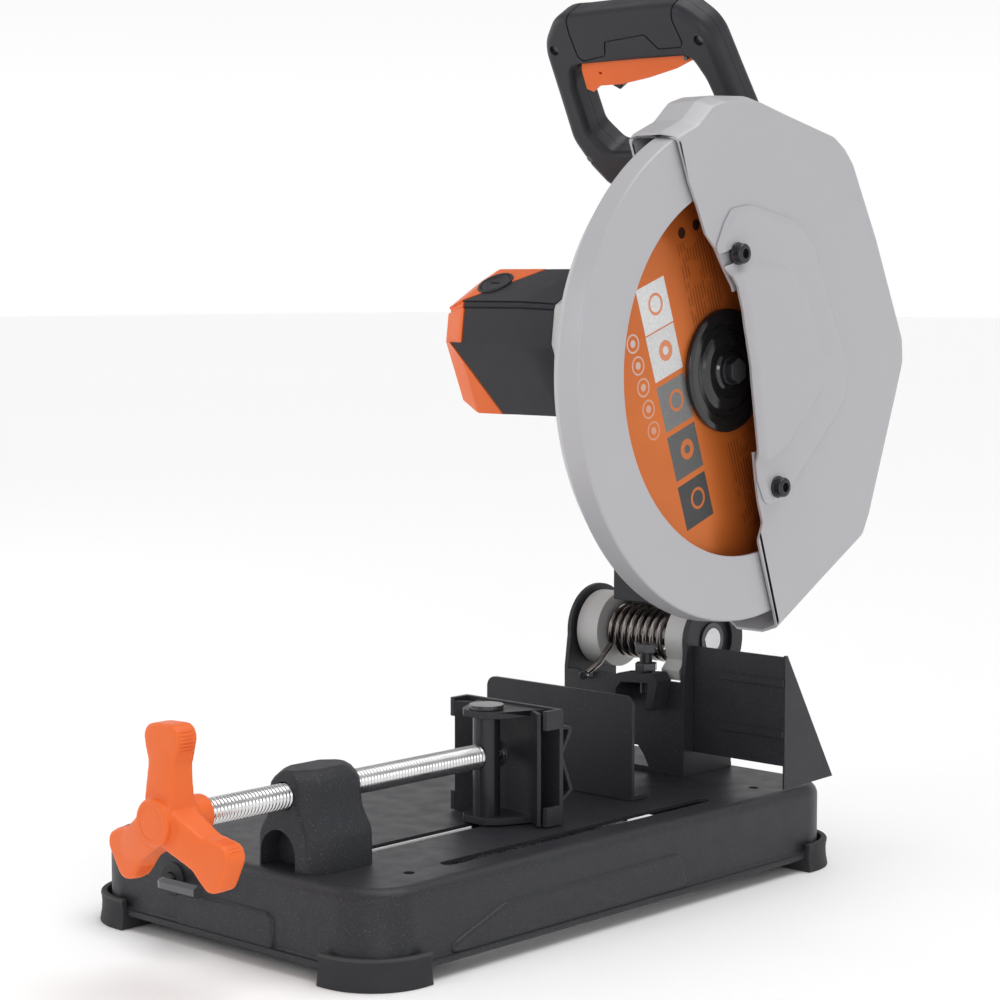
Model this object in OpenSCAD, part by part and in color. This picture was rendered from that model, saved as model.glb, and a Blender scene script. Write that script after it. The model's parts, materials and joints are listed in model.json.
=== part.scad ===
// Bench cut-off saw with a screw vise, a tilting head and a swinging disc guard.
// X runs across the base (+X is the disc side), Y towards the rear, Z up.
// The origin is on the bench, under the middle of the base. The head is drawn raised.

/* [Base] */
// Width of the pressed tray at its walls
base_w = 293; // [285:1:300]
// Length of the pressed tray at its walls
base_l = 508; // [505:1:520]
// Height of the work surface above the bench
top_z = 65; // [65:1:70]
// Gap under the tray hem, held by the feet
foot_gap = 10; // [8:1:12]
// Radius of the tray's upright corners
corner_r = 38; // [30:1:40]
// Thickness of the tray's steel sheet
tray_t = 2.5; // [2:0.1:3]

/* [Head] */
// Diameter of the cutting disc
disc_d = 355; // [350:1:356]
// Thickness of the cutting disc
disc_t = 2.4; // [2:0.1:2.6]
// Diameter of the disc's bore
disc_bore_d = 25.4; // [25.4:0.1:25.4]
// Number of carbide teeth on the disc
disc_teeth = 66; // [48:2:80]
// Outer diameter of the swinging guard at its rim
guard_d = 379; // [378:1:380]
// Diameter of the round opening in the swinging guard
guard_open_d = 278; // [260:1:284]
// Lean of the handle's loop from upright with the head raised
handle_lean = 32; // [30:1:34]

/* [Vise] */
// Diameter of the vise screw
screw_d = 18; // [16:0.5:18]
// Height of the vise screw's axis above the work surface
screw_h = 49.5; // [48:0.5:50]
// Reach of each lobe of the vise knob
lobe_reach = 62; // [56:1:64]
// Height of the fence plate above the work surface
fence_h = 80; // [75:1:82]

/* [Hidden] */
$fn = 64;
eps = 0.01;

// Axes of the head, as [y, z]
pivot = [220, 170.5];
arbor = [144, 390];
motor = [180, 407];
head_swing = 57;

// Planes across the head, as x
disc_x = 115;
guard_face_x = 135;
fixed_face_x = 139;
fixed_back_x = 93;
nose_x = 104.5;

// Vise and fence
screw_x = 48;
screw_z = top_z + screw_h;
pin_y = -44.5;
fence_y = 81.7;
fence_pivot = [62, 92.4];
fence_lock_r = 112;
fence_t = 3.2;
block_y0 = -243;
block_y1 = -184;

// Pivot bracket
bracket_y = 180.5;
bracket_x0 = -75;
bracket_x1 = 51;
bracket_t = 4;

// Holes through the tray for bench bolts, as half spacings about [0, bench_y]
bench_dx = 116;
bench_dy = 189;
bench_y = -3;

steel_dark = [0.17, 0.17, 0.19];
cast_grey = [0.78, 0.78, 0.80];
orange = [0.95, 0.42, 0.18];
black = [0.08, 0.08, 0.09];
zinc = [0.75, 0.77, 0.78];
plastic_dark = [0.22, 0.22, 0.24];

// ---------- shared helpers ----------

function arc(c, r, a0, a1, n = 8) =
    [for (i = [0:n]) c + r * [cos(a0 + (a1 - a0) * i / n), sin(a0 + (a1 - a0) * i / n)]];

function round_rect(w, l, r) = concat(
    arc([w / 2 - r, l / 2 - r], r, 0, 90), arc([r - w / 2, l / 2 - r], r, 90, 180),
    arc([r - w / 2, r - l / 2], r, 180, 270), arc([w / 2 - r, r - l / 2], r, 270, 360));

function slot_points(x, y0, y1, r) = concat(arc([x, y1 - r], r, 0, 180), arc([x, y0 + r], r, 180, 360));

function about(points, c, k, move = [0, 0]) = [for (p = points) c + k * (p - c) + move];

// Local z runs along +X, local x points down and local y points to the rear
module about_x(yz, x = 0) { translate([x, yz[0], yz[1]]) rotate([0, 90, 0]) children(); }

// Local z runs along +Y
module along_y(x, y, z) { translate([x, y, z]) rotate([-90, 0, 0]) children(); }

// A [y, z] outline, from x0 to x1
module yz_plate(x0, x1, points) {
    translate([x0, 0, 0]) rotate([90, 0, 90]) linear_extrude(x1 - x0) polygon(points);
}

// An [x, z] outline, from y0 to y1
module xz_plate(y0, y1, points) {
    translate([0, y1, 0]) rotate([90, 0, 0]) linear_extrude(y1 - y0) polygon(points);
}

module tube(r1, r0, h) {
    difference() {
        cylinder(r = r1, h = h);
        translate([0, 0, -1]) cylinder(r = r0, h = h + 2);
    }
}

// Hex-head bolt: the underside of the head is at z = 0 and the shank points down
module hex_bolt(d, l, af, head_h) {
    cylinder(d = af / cos(30), h = head_h, $fn = 6);
    translate([0, 0, -l]) cylinder(d = d, h = l + eps);
}

// Socket cap bolt with a plain washer under its head
module cap_bolt(d, l, head_d, head_h, socket) {
    difference() {
        union() {
            cylinder(d = head_d, h = head_h);
            translate([0, 0, -l]) cylinder(d = d, h = l + eps);
        }
        translate([0, 0, head_h * 0.4]) cylinder(d = socket / cos(30), h = head_h, $fn = 6);
    }
}

// ---------- base ----------

module tray_block(grow, z0, z1, bevel) {
    w = base_w + 2 * grow;
    l = base_l + 2 * grow;
    r = corner_r + grow;
    translate([0, 0, z0]) hull() {
        linear_extrude(z1 - z0 - bevel) polygon(round_rect(w, l, r));
        linear_extrude(z1 - z0) polygon(round_rect(w - 2 * bevel, l - 2 * bevel, r - bevel));
    }
}

module tray_corner_tabs() {
    intersection() {
        translate([0, 0, foot_gap]) linear_extrude(2.5) polygon(round_rect(base_w - 2, base_l - 2, corner_r - 1));
        for (sx = [-1, 1], sy = [-1, 1])
            translate([sx * (base_w / 2 - 20) - 20, sy * (base_l / 2 - 20) - 20, 0]) cube([40, 40, 20]);
    }
}

foot_hole = [base_w / 2 - 24, base_l / 2 - 24];

// Slots and holes through the work surface
module tray_holes() {
    polygon(slot_points(116, -160, 127, 5.75));
    polygon(slot_points(screw_x, -180, 24, 7));
    // arc slot for the fence's lock bolt, from 30 degrees back to 45 degrees forward
    translate(fence_pivot) polygon(concat(
        arc([0, 0], fence_lock_r + 4.5, 146, 229, 20), arc([0, 0], fence_lock_r - 4.5, 229, 146, 20)));
    for (sx = [-1, 1], sy = [-1, 1])
        translate([sx * bench_dx, bench_y + sy * bench_dy]) circle(d = 8);
    for (p = base_bolt_at) translate(p) circle(d = 8.4);
    translate(fence_pivot) circle(d = 8);
}

module base_tray() {
    color(steel_dark) difference() {
        union() {
            difference() {
                union() {
                    tray_block(0, foot_gap, top_z, 6);
                    translate([0, 0, foot_gap]) linear_extrude(4)
                        polygon(round_rect(base_w + 6, base_l + 6, corner_r + 3));
                    // pressed panels on the front and the right side
                    xz_plate(-base_l / 2 - 1.2, -base_l / 2 + 1,
                        concat([[-47, foot_gap + 2]], arc([-41, 30], 6, 180, 90), arc([43, 30], 6, 90, 0),
                               [[49, foot_gap + 2]]));
                    yz_plate(base_w / 2 - 1, base_w / 2 + 1.2,
                        [[-193, 15], [-131, 37], [54, 39], [64, 15]]);
                }
                tray_block(-tray_t, foot_gap - 1, top_z - tray_t, 5);
            }
            tray_corner_tabs();
        }
        translate([0, 0, 50]) linear_extrude(30) tray_holes();
        for (sx = [-1, 1], sy = [-1, 1])
            translate([sx * foot_hole[0], sy * foot_hole[1], 5]) cylinder(d = 5, h = 12);
        // hole for the key's grommet
        along_y(key_x, -base_l / 2 - 5, key_z) cylinder(d = 16, h = 15);
    }
}

foot_hole = [base_w / 2 - 24, base_l / 2 - 24];

module one_foot() {
    reach = 46;
    difference() {
        intersection() {
            linear_extrude(22) polygon(round_rect(base_w + 17, base_l + 17, corner_r + 8.5));
            translate([base_w / 2 + 9 - reach - 9, base_l / 2 + 9 - reach - 9, 0]) cube([reach + 9, reach + 9, 30]);
        }
        // room for the tray's wall and hem
        translate([0, 0, foot_gap]) linear_extrude(30)
            polygon(round_rect(base_w + 6.4, base_l + 6.4, corner_r + 3.2));
        translate([foot_hole[0], foot_hole[1], -1]) cylinder(d = 10, h = 5);
        translate([foot_hole[0], foot_hole[1], -1]) cylinder(d = 5, h = 20);
    }
}

module rubber_feet() {
    color(black) {
        one_foot();
        mirror([1, 0, 0]) one_foot();
        mirror([0, 1, 0]) one_foot();
        mirror([1, 0, 0]) mirror([0, 1, 0]) one_foot();
    }
}

module foot_screws() {
    color(zinc) for (sx = [-1, 1], sy = [-1, 1])
        translate([sx * foot_hole[0], sy * foot_hole[1], 0]) {
            translate([0, 0, 1]) cylinder(d = 9.6, h = 3);
            translate([0, 0, 4 - eps]) cylinder(d = 4.9, h = 12);
        }
}

key_x = -52;
key_z = 44;
key_af = 8;
key_y = -base_l / 2 - 14;
key_arm = 34;
key_bend = 8;

module key_grommet() {
    color(black) along_y(key_x, -base_l / 2 - 3, key_z) difference() {
        union() {
            cylinder(d = 23, h = 3);
            cylinder(d = 15.9, h = 8);
            translate([0, 0, 3 + tray_t]) cylinder(d = 20, h = 2.5);
        }
        translate([0, 0, -1]) cylinder(d = 10, h = 12);
    }
}

module hex_key() {
    color(zinc) {
        translate([key_x + key_bend - eps, key_y, key_z]) rotate([0, 90, 0])
            cylinder(d = key_af / cos(30), h = key_arm, $fn = 6);
        along_y(key_x, key_y + key_bend - eps, key_z) rotate([0, 0, 30])
            cylinder(d = key_af / cos(30), h = 92, $fn = 6);
        translate([key_x + key_bend, key_y + key_bend, key_z]) rotate([0, 0, 180])
            rotate_extrude(angle = 90, $fn = 32) translate([key_bend, 0]) rotate(90) circle(d = key_af / cos(30), $fn = 6);
    }
}

// ---------- vise ----------

module vise_block() {
    half = 33;
    mid = 23;
    z0 = top_z;
    profile = concat([[screw_x - half, z0], [screw_x - half, z0 + 26]], [[screw_x - mid, z0 + 42]],
        [[screw_x - mid, screw_z + 6], [screw_x - 12, screw_z + 17]],
        [[screw_x + 12, screw_z + 17], [screw_x + mid, screw_z + 6]],
        [[screw_x + mid, z0 + 42], [screw_x + half, z0 + 26], [screw_x + half, z0]]);
    color(plastic_dark) difference() {
        intersection() {
            xz_plate(block_y0, block_y1, profile);
            linear_extrude(200) polygon([
                [screw_x - 24, block_y0], [screw_x + 24, block_y0], [screw_x + half + 1, block_y0 + 14],
                [screw_x + half + 1, block_y1 - 10], [screw_x + 24, block_y1], [screw_x - 24, block_y1],
                [screw_x - half - 1, block_y1 - 10], [screw_x - half - 1, block_y0 + 14]]);
        }
        along_y(screw_x, block_y0 - 1, screw_z) cylinder(d = screw_d + 1.2, h = 80);
        along_y(screw_x, block_y1 - 36, screw_z) cylinder(d = 26, h = 40);
        // arched recess under the front of the block
        translate([0, block_y0 + 16, 0]) rotate([90, 0, 0]) linear_extrude(30) polygon(concat(
            [[screw_x + 12, z0 - 1]], arc([screw_x - 5, z0 + 9], 17, 0, 180), [[screw_x - 22, z0 - 1]]));
        for (p = block_bolt_at) translate([p[0], p[1], top_z - 1]) cylinder(d = 8, h = 24);
    }
}

block_bolt_at = [[screw_x, block_y0 + 25], [screw_x, block_y1 - 12]];
bracket_bolt_at = [for (x = [-60, 36], y = [196, 232]) [x, y]];
base_bolt_at = concat(block_bolt_at, bracket_bolt_at);

// Hex bolts fastening the vise block and the pivot bracket, heads under the tray
module base_bolts() {
    color(zinc) for (p = base_bolt_at)
        translate([p[0], p[1], top_z - tray_t]) mirror([0, 0, 1]) hex_bolt(8, 20, 13, 5.3);
}

module vise_nut() {
    color([0.72, 0.58, 0.30]) along_y(screw_x, block_y1 - 36, screw_z) tube(13, screw_d / 2 + 0.05, 36);
}

screw_y0 = -350;
screw_tail_y = pin_y - 10.2;

module vise_screw() {
    color(zinc) {
        along_y(screw_x, screw_y0 + 12, screw_z) cylinder(d = screw_d, h = screw_tail_y - screw_y0 - 12);
        along_y(screw_x, screw_tail_y - eps, screw_z) cylinder(d = 12, h = 28);
    }
}

module knob_lobe(a) {
    rotate([0, 0, a]) {
        hull() {
            translate([10, 0, 5]) cylinder(r = 13, h = 21, $fn = 32);
            translate([36, 0, 9]) cylinder(r = 12, h = 17, $fn = 32);
        }
        hull() {
            translate([34, 0, 9]) cylinder(r = 11, h = 17, $fn = 32);
            for (s = [-1, 1]) translate([lobe_reach - 9, s * 8, 10]) cylinder(r = 9, h = 17, $fn = 32);
        }
    }
}

module vise_knob() {
    color(orange) along_y(screw_x, screw_y0 - 4, screw_z) difference() {
        union() {
            cylinder(r = 15, h = 28);
            translate([0, 0, -1]) cylinder(r = 11, h = 4);
            translate([0, 0, 27]) cylinder(r = 13, h = 15);
            for (a = [-93, 27, 147]) knob_lobe(a);
        }
        translate([0, 0, 16]) cylinder(d = screw_d, h = 30);
    }
}

// Washer and clip that keep the screw's end in the jaw pin
module screw_clip() {
    color(black) along_y(screw_x, pin_y + 10.6, screw_z) tube(10, 6.05, 2);
    color(zinc) along_y(screw_x, pin_y + 13.2, screw_z) tube(8.5, 6.05, 1.5);
}

module jaw_pin() {
    color(black) difference() {
        union() {
            translate([screw_x, pin_y, top_z + 0.6]) cylinder(d = 20, h = 84.2);
            translate([screw_x, pin_y, top_z + 83.8]) cylinder(d = 25, h = 3);
            translate([screw_x, pin_y, top_z - 6]) cylinder(d = 13, h = 8);
            translate([screw_x, pin_y, top_z - 6]) cylinder(d = 22, h = 3);
        }
        along_y(screw_x, pin_y - 15, screw_z) cylinder(d = 12.1, h = 30);
    }
}

jaw_z0 = top_z + 1;
jaw_h = 84;
jaw_y = pin_y + 26;
jaw_half = 48;

module jaw_lug(z) {
    translate([screw_x, pin_y, z]) difference() {
        linear_extrude(5) polygon([[-18, -6], [-10, -13.5], [10, -13.5], [18, -6], [33, 26.5], [-33, 26.5]]);
        translate([0, 0, -1]) cylinder(d = 20.1, h = 8);
    }
}

module jaw_frame() {
    color(steel_dark) {
        jaw_lug(jaw_z0);
        jaw_lug(jaw_z0 + jaw_h - 6.6);
        // bowed backing plate between the lugs
        translate([screw_x, pin_y, jaw_z0]) linear_extrude(jaw_h - 2) polygon(concat(
            arc([0, -43.1], 69.5, 128, 52, 14), arc([0, -43.1], 66.5, 52, 128, 14)));
        // corner tabs turned back towards the operator
        for (s = [-1, 1], z = [jaw_z0, jaw_z0 + jaw_h - 14])
            translate([screw_x + s * (jaw_half - 2) - 2, jaw_y - 14, z]) cube([4, 14.5, 14]);
        translate([screw_x - jaw_half, jaw_y, jaw_z0]) cube([2 * jaw_half, 4, jaw_h]);
    }
}

module jaw_v_plate() {
    t = 2.5;
    y0 = jaw_y + 4;
    z = [screw_z + 22, screw_z + 19, screw_z + 1, screw_z - 24, screw_z - 33];
    color(steel_dark) yz_plate(screw_x - jaw_half + 3, screw_x + jaw_half - 3, [
        [y0, z[0]], [y0 + 13, z[0] - 1], [y0 + 13, z[1] - 2], [y0 + t + 0.5, z[2]], [y0 + 14, z[3]],
        [y0 + 13.5, z[3] - 3], [y0 + 4, z[4]], [y0, z[4]], [y0, z[4] + t], [y0 + 3, z[4] + t],
        [y0 + 10.5, z[3] - 1.5], [y0, z[2] - 0.6], [y0, z[2] + 0.6], [y0 + 9, z[1] - 2], [y0 + 9, z[0] - 3],
        [y0, z[0] - t]]);
}

// ---------- fence ----------

module fence() {
    t = fence_t;
    x0 = -70;
    x1 = 80;
    color(steel_dark) difference() {
        union() {
            xz_plate(fence_y, fence_y + t, concat([[x0, top_z + 0.4]], arc([x0 + 8, top_z + fence_h - 8], 8, 180, 90),
                arc([x1 - 8, top_z + fence_h - 8], 8, 90, 0), [[x1, top_z + 0.4]]));
            translate([x0, fence_y, top_z + 0.4]) cube([x1 - x0, 20, t]);
        }
        translate([fence_pivot[0], fence_pivot[1], top_z - 1]) cylinder(d = 8.1, h = 20);
        translate([fence_pivot[0] - fence_lock_r, fence_pivot[1], top_z - 1]) cylinder(d = 8.4, h = 20);
    }
}

module fence_bolt(x) {
    translate([x, fence_pivot[1], top_z + fence_t + 0.4]) {
        tube(7, 4, 1.4);
        translate([0, 0, 1.4]) hex_bolt(8, 24, 11, 5);
    }
}

module fence_pivot_bolt() { color(zinc) fence_bolt(fence_pivot[0]); }

module fence_lock_bolt() { color(zinc) fence_bolt(fence_pivot[0] - fence_lock_r); }

// ---------- pivot bracket ----------

module bracket_cheek(x0, x1, hole_r) {
    translate([x0, 0, 0]) rotate([90, 0, 90]) linear_extrude(x1 - x0) difference() {
        union() {
            translate(pivot) circle(r = 36);
            polygon([[bracket_y, top_z], [bracket_y, 141], [184.5, pivot[1]], [255, pivot[1] - 6],
                [242, 138], [242, top_z]]);
        }
        translate(pivot) circle(r = hole_r);
    }
}

module pivot_bracket() {
    z1 = 140;
    color(steel_dark) difference() {
        union() {
            bracket_cheek(bracket_x0, bracket_x0 + bracket_t, 10);
            bracket_cheek(bracket_x1 - bracket_t, bracket_x1, 22);
            xz_plate(bracket_y, bracket_y + bracket_t, concat([[bracket_x0, top_z]],
                arc([bracket_x0 + 6, z1 - 6], 6, 180, 90), [[bracket_x1, z1], [bracket_x1, top_z]]));
            translate([bracket_x0, bracket_y, top_z]) cube([bracket_x1 - bracket_x0, 62, bracket_t]);
            // inner plate that carries the shaft's right end
            about_x(pivot, bracket_x1 - bracket_t - 3.5) tube(27, 10, 3.5);
            // bush for the lock pin
            about_x(lock_pin_at, bracket_x1 - 1) cylinder(r = 6.5, h = 8);
        }
        xz_plate(bracket_y - 1, bracket_y + bracket_t + 1, [[-34, top_z + bracket_t], [-30, 85], [4, 85], [10, 78], [15, top_z + bracket_t]]);
        for (p = bracket_bolt_at) translate([p[0], p[1], top_z - 1]) cylinder(d = 8, h = 10);
        // notch for the spring's leg, and holes for the lock pin and the deflector's screws
        translate([-58, bracket_y - 1, 134]) cube([14, 8, 10]);
        about_x(lock_pin_at, 40) cylinder(d = 10.1, h = 30);
        for (z = deflector_screw_z) about_x([211, z], 40) cylinder(d = 5, h = 20);
    }
}

module pivot_shaft() {
    color(zinc) about_x(pivot, bracket_x0 - 5) cylinder(r = 10, h = bracket_x1 - bracket_x0 + 3);
}

module shaft_rings() {
    color(black) {
        about_x(pivot, bracket_x0 - 2.2) tube(14, 10, 2);
        about_x(pivot, bracket_x1 - bracket_t) tube(14, 10, 1.6);
    }
}

// Torsion spring: a swept coil, a straight leg to the front and a hooked end
spring_r = 20;
wire_r = 2.5;
spring_x0 = -43;
spring_turns = 8;
spring_pitch = 7.4;

function coil_point(a) = [spring_x0 + spring_pitch * a / 360,
    pivot[0] - spring_r * sin(a + 60), pivot[1] - spring_r * cos(a + 60)];

module coil_wire(steps, sides) {
    ring_points = [for (i = [0:steps * spring_turns], j = [0:sides - 1])
        let (a = 360 * i / steps, c = coil_point(a), b = 360 * j / sides,
             out = [0, -sin(a + 60), -cos(a + 60)])
        c + wire_r * (cos(b) * out + sin(b) * [1, 0, 0])];
    last = steps * spring_turns * sides;
    walls = [for (i = [0:steps * spring_turns - 1], j = [0:sides - 1])
        let (k = i * sides, m = (j + 1) % sides) [k + j, k + sides + j, k + sides + m, k + m]];
    ends = [[for (j = [0:sides - 1]) j], [for (j = [sides - 1:-1:0]) last + j]];
    polyhedron(points = ring_points, faces = concat(walls, ends), convexity = 10);
}

module torsion_spring() {
    color([0.2, 0.18, 0.18]) {
        coil_wire(18, 6);
        for (leg = [[coil_point(0), [-43.6, 188, 146]], [[-43.6, 188, 146], [-50, 177, 137]]]) hull()
            for (p = leg) translate(p) sphere(r = wire_r, $fn = 16);
        translate([-50, 178, 137]) rotate([90, 0, 25]) cylinder(r = 3.4, h = 8);
    }
}

module stop_bracket() {
    color(steel_dark) difference() {
        xz_plate(163, bracket_y, [[-10, 120], [-10, 137], [-3, 145], [33, 148], [38, 142], [32, 118],
            [26, 118], [28, 140], [0, 138], [-5, 132], [-5, 120]]);
        translate([stop_x, stop_y, 130]) cylinder(d = 10.1, h = 30);
        translate([-20, 140, 100]) rotate([28, 0, 0]) cube([80, 30, 30]);
    }
}

stop_x = 18.6;
stop_y = 172.5;

module stop_bolt() {
    color(zinc) {
        translate([stop_x, stop_y, 163]) cylinder(d = 16 / cos(30), h = 7, $fn = 6);
        translate([stop_x, stop_y, 130]) cylinder(d = 10, h = 34);
    }
}

module stop_nut() {
    color(zinc) difference() {
        translate([stop_x, stop_y, 148.4]) cylinder(d = 16 / cos(30), h = 6, $fn = 6);
        translate([stop_x, stop_y, 140]) cylinder(d = 10.1, h = 20);
    }
}

lock_pin_at = [200.4, 134.5];
deflector_screw_z = [150, 120];

module lock_pin() {
    color(black) about_x(lock_pin_at, 44) cylinder(d = 10, h = 21);
}

deflector_y = 192;
deflector_x1 = 141;

module deflector() {
    z0 = 84;
    z1 = 169;
    color(steel_dark) {
        translate([bracket_x1 + 0.3, deflector_y, z0]) cube([deflector_x1 - bracket_x1 - 0.3, 1.6, z1 - z0]);
        // pressed ribs
        for (z = [108, 148]) xz_plate(deflector_y - 2, deflector_y + eps, [[76, z], [79, z + 3.5], [deflector_x1 - 1, z + 3.5], [deflector_x1 - 1, z - 2], [79, z - 2]]);
        yz_plate(deflector_x1 - 1.6, deflector_x1, [[deflector_y, z1 + 1], [deflector_y, top_z + 0.8], [256, top_z + 2.6], [deflector_y + 3, z1 + 1]]);
        // flange on the bracket's cheek
        difference() {
            yz_plate(bracket_x1 + 0.1, bracket_x1 + 1.7, [[deflector_y, 108], [222, 108], [222, 160], [deflector_y, 160]]);
            for (z = deflector_screw_z) about_x([211, z], 40) cylinder(d = 5, h = 20);
            about_x(lock_pin_at, 40) cylinder(d = 14, h = 20);
        }
    }
}

module deflector_screws() {
    color(zinc) for (z = deflector_screw_z) about_x([211, z], 0) {
        translate([0, 0, bracket_x1 + 1.8]) cylinder(d = 9, h = 3);
        translate([0, 0, bracket_x1 - 8]) cylinder(d = 4.9, h = 10);
    }
}

// ---------- head castings ----------

// Half of the motor's outline; the other half is the same turned half a turn
half_outline = [[147, 349], [122.5, 407.5], [126, 436], [128, 441], [173, 467]];
motor_outline = concat(half_outline, about(half_outline, motor, -1));
arm_x = [-36, 42];
gear_foot_z = 343.5;

module gear_housing() {
    color(cast_grey) difference() {
        union() {
            yz_plate(-42, 88, about(motor_outline, motor, 0.93));
            about_x(arbor, 6) cylinder(r = 41, h = 82);
            about_x(arbor, 88 - eps) cylinder(r = 34, h = nose_x - 88);
            translate([arm_x[0], 165, gear_foot_z]) cube([arm_x[1] - arm_x[0], 68, 25]);
        }
        // gear chamber and pinion tunnel
        about_x(arbor, 19) cylinder(r = 34, h = 49);
        about_x(motor, -43) cylinder(r = 12.5, h = 90);
        // seats for the spindle's bearings
        about_x(arbor, 8) cylinder(r = 13, h = 12);
        about_x(arbor, 67) cylinder(r = 20, h = 15);
        about_x(arbor, 81) cylinder(r = 13, h = 30);
        translate([lock_x, 80, arbor[1]]) rotate([-90, 0, 0]) cylinder(d = 10.1, h = 40);
    }
}

module ear(x0, x1) { about_x(pivot, x0) cylinder(r = 31, h = x1 - x0); }

module pivot_arm() {
    stop = [[201, 201], [187.2, 221.4], [203, 233]];
    color(cast_grey) difference() {
        union() {
            ear(-69, -47);
            ear(24, 42);
            // lug under the front of the right ear, which the lock pin holds down
            yz_plate(24, 42, about([[-27, -14], [-35, -22], [-33, -30], [-20, -27]], [0, 0], 1, pivot));
            // curved web behind the spring, joining the two ears
            yz_plate(-48, 25, concat(arc(pivot, 30, -28, 90, 12), arc(pivot, 25, 90, -28, 12)));
            yz_plate(arm_x[0], arm_x[1], [[202, 199], [202, 300], [168, gear_foot_z], [230, gear_foot_z],
                [246, 290], [251, 180], [244, 180], [238, 193], [220, 199.5]]);
            yz_plate(stop_x - 8, stop_x + 8, stop);
        }
        about_x(pivot, -80) cylinder(r = 10.05, h = 140);
        // lightening pocket open to the rear
        translate([arm_x[0] + 8, 214, 215]) cube([arm_x[1] - arm_x[0] - 16, 60, 105]);
    }
}

module arm_shield() {
    color(steel_dark) difference() {
        xz_plate(199, 201.7, concat([[arm_x[0] - 2, 198], [arm_x[0] - 2, 300]], [[arm_x[1] + 2, 300], [arm_x[1] + 2, 198]]));
        translate([stop_x - 9, 190, 190]) cube([18, 20, 46]);
    }
}

motor_x = [-140, -42];

module motor_housing() {
    color(black) difference() {
        yz_plate(motor_x[0], motor_x[1], motor_outline);
        about_x(motor, motor_x[0] - 1) cylinder(r = 46, h = motor_x[1] - motor_x[0] - 11);
        about_x(motor, motor_x[1] - 12.5) cylinder(r = 13, h = 9.6);
        about_x(motor, motor_x[1] - 10) cylinder(r = 8, h = 20);
        for (s = [0, 180]) brush_axis(s) translate([0, 0, 40]) cylinder(r = 13, h = 30);
    }
}

// Local z runs outwards along the brushes
module brush_axis(turn) {
    translate([brush_x, motor[0], motor[1]]) rotate([turn, 0, 0]) rotate([30, 0, 0]) children();
}

brush_x = -126;

module motor_end_cap() {
    x0 = motor_x[0] - 25;
    color(orange) difference() {
        hull() {
            yz_plate(motor_x[0] - 1, motor_x[0], motor_outline);
            yz_plate(x0, x0 + 1, about(motor_outline, motor, 0.8));
        }
        hull() {
            yz_plate(motor_x[0] - 1, motor_x[0] + 1, about(motor_outline, motor, 0.94));
            yz_plate(x0 + 4, x0 + 5, about(motor_outline, motor, 0.74));
        }
        for (k = [-3:3]) translate([x0 - 1, motor[0] - 22, motor[1] + 9 * k - 1.5]) cube([8, 44, 3]);
    }
    color(black) about_x(motor, x0 + 4) tube(17, 13, 12);
}

module brush_caps() {
    color(black) for (s = [0, 180]) brush_axis(s) difference() {
        translate([0, 0, 44]) cylinder(r = 12.9, h = 12.6);
        translate([-6, -1, 54.6]) cube([12, 2, 4]);
    }
}

module carbon_brushes() {
    color([0.15, 0.15, 0.15]) for (s = [0, 180]) brush_axis(s) translate([-4, -3, 16.4]) cube([8, 6, 18]);
}

module stator() {
    color([0.35, 0.33, 0.32]) about_x(motor, -112) tube(46, 28.5, 40);
    color([0.72, 0.40, 0.18]) for (x = [-117, -72]) about_x(motor, x) tube(42, 30, 5);
}

module motor_bearings() {
    color(zinc) {
        about_x(motor, motor_x[0] - 20) tube(13, 6.02, 9);
        about_x(motor, motor_x[1] - 12) tube(13, 6.02, 9);
    }
}

module spindle_bearings() {
    color(zinc) {
        about_x(arbor, 8) tube(13, 6.02, 9);
        about_x(arbor, 68) tube(20, 10.02, 14);
    }
}

// ---------- guards ----------

front_edge = [[185.5, 189.4], [159, 261.5], [164.6, 274.7], [158.6, 291.4], [155.2, 307.8], [141.6, 394],
    [131.8, 434], [124.6, 452.4], [116, 463], [103, 481], [92, 491], [81.6, 511.6], [73, 526.7], [60, 556.8]];
guard_back = [[60, 556.8], [81, 573], [98, 586], [114, 590.7], [157, 592.6], [193.5, 584], [254, 570.7],
    [269, 561.7], [281, 549.7], [314, 492], [352.8, 412], [354.5, 392], [343, 360.5], [309.5, 271.6],
    [300, 253.7], [246.7, 224], [185.5, 189.4], [140, 200], [20, 480]];

module guard_solid(inset) {
    face = about(guard_back, arbor, 1 - inset / 200);
    rim = [for (p = guard_back) norm(p - arbor) < 194 && p[1] > 400 ? arbor + (194 - inset) / norm(p - arbor) * (p - arbor)
        : arbor + (1.01 - inset / 200) * (p - arbor)];
    hull() {
        yz_plate(fixed_back_x + inset, fixed_back_x + inset + eps, face);
        yz_plate(fixed_back_x + 4, fixed_face_x - 4, rim);
        yz_plate(fixed_face_x - inset - eps, fixed_face_x - inset, face);
    }
}

cover_outline = [[112.4, 499.3], [121, 510], [144.6, 513.6], [203, 502.4], [224, 487.8], [236.4, 457.9],
    [272.3, 391], [268, 363], [220.3, 318], [188, 290], [166, 288]];
cover_edge = [[155.2, 307.8], [141.6, 394], [131.8, 434], [124.6, 452.4], [116, 463], [103, 481]];
cover_top = [[114, 457.6], [140, 469.5], [184.5, 463], [203, 447], [233, 392], [230, 378.4], [186.7, 336.3],
    [153, 318], [144, 385], [134, 430], [126, 449]];
guard_bolt_at = [[124.2, 477], [176.4, 301.6]];

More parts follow.
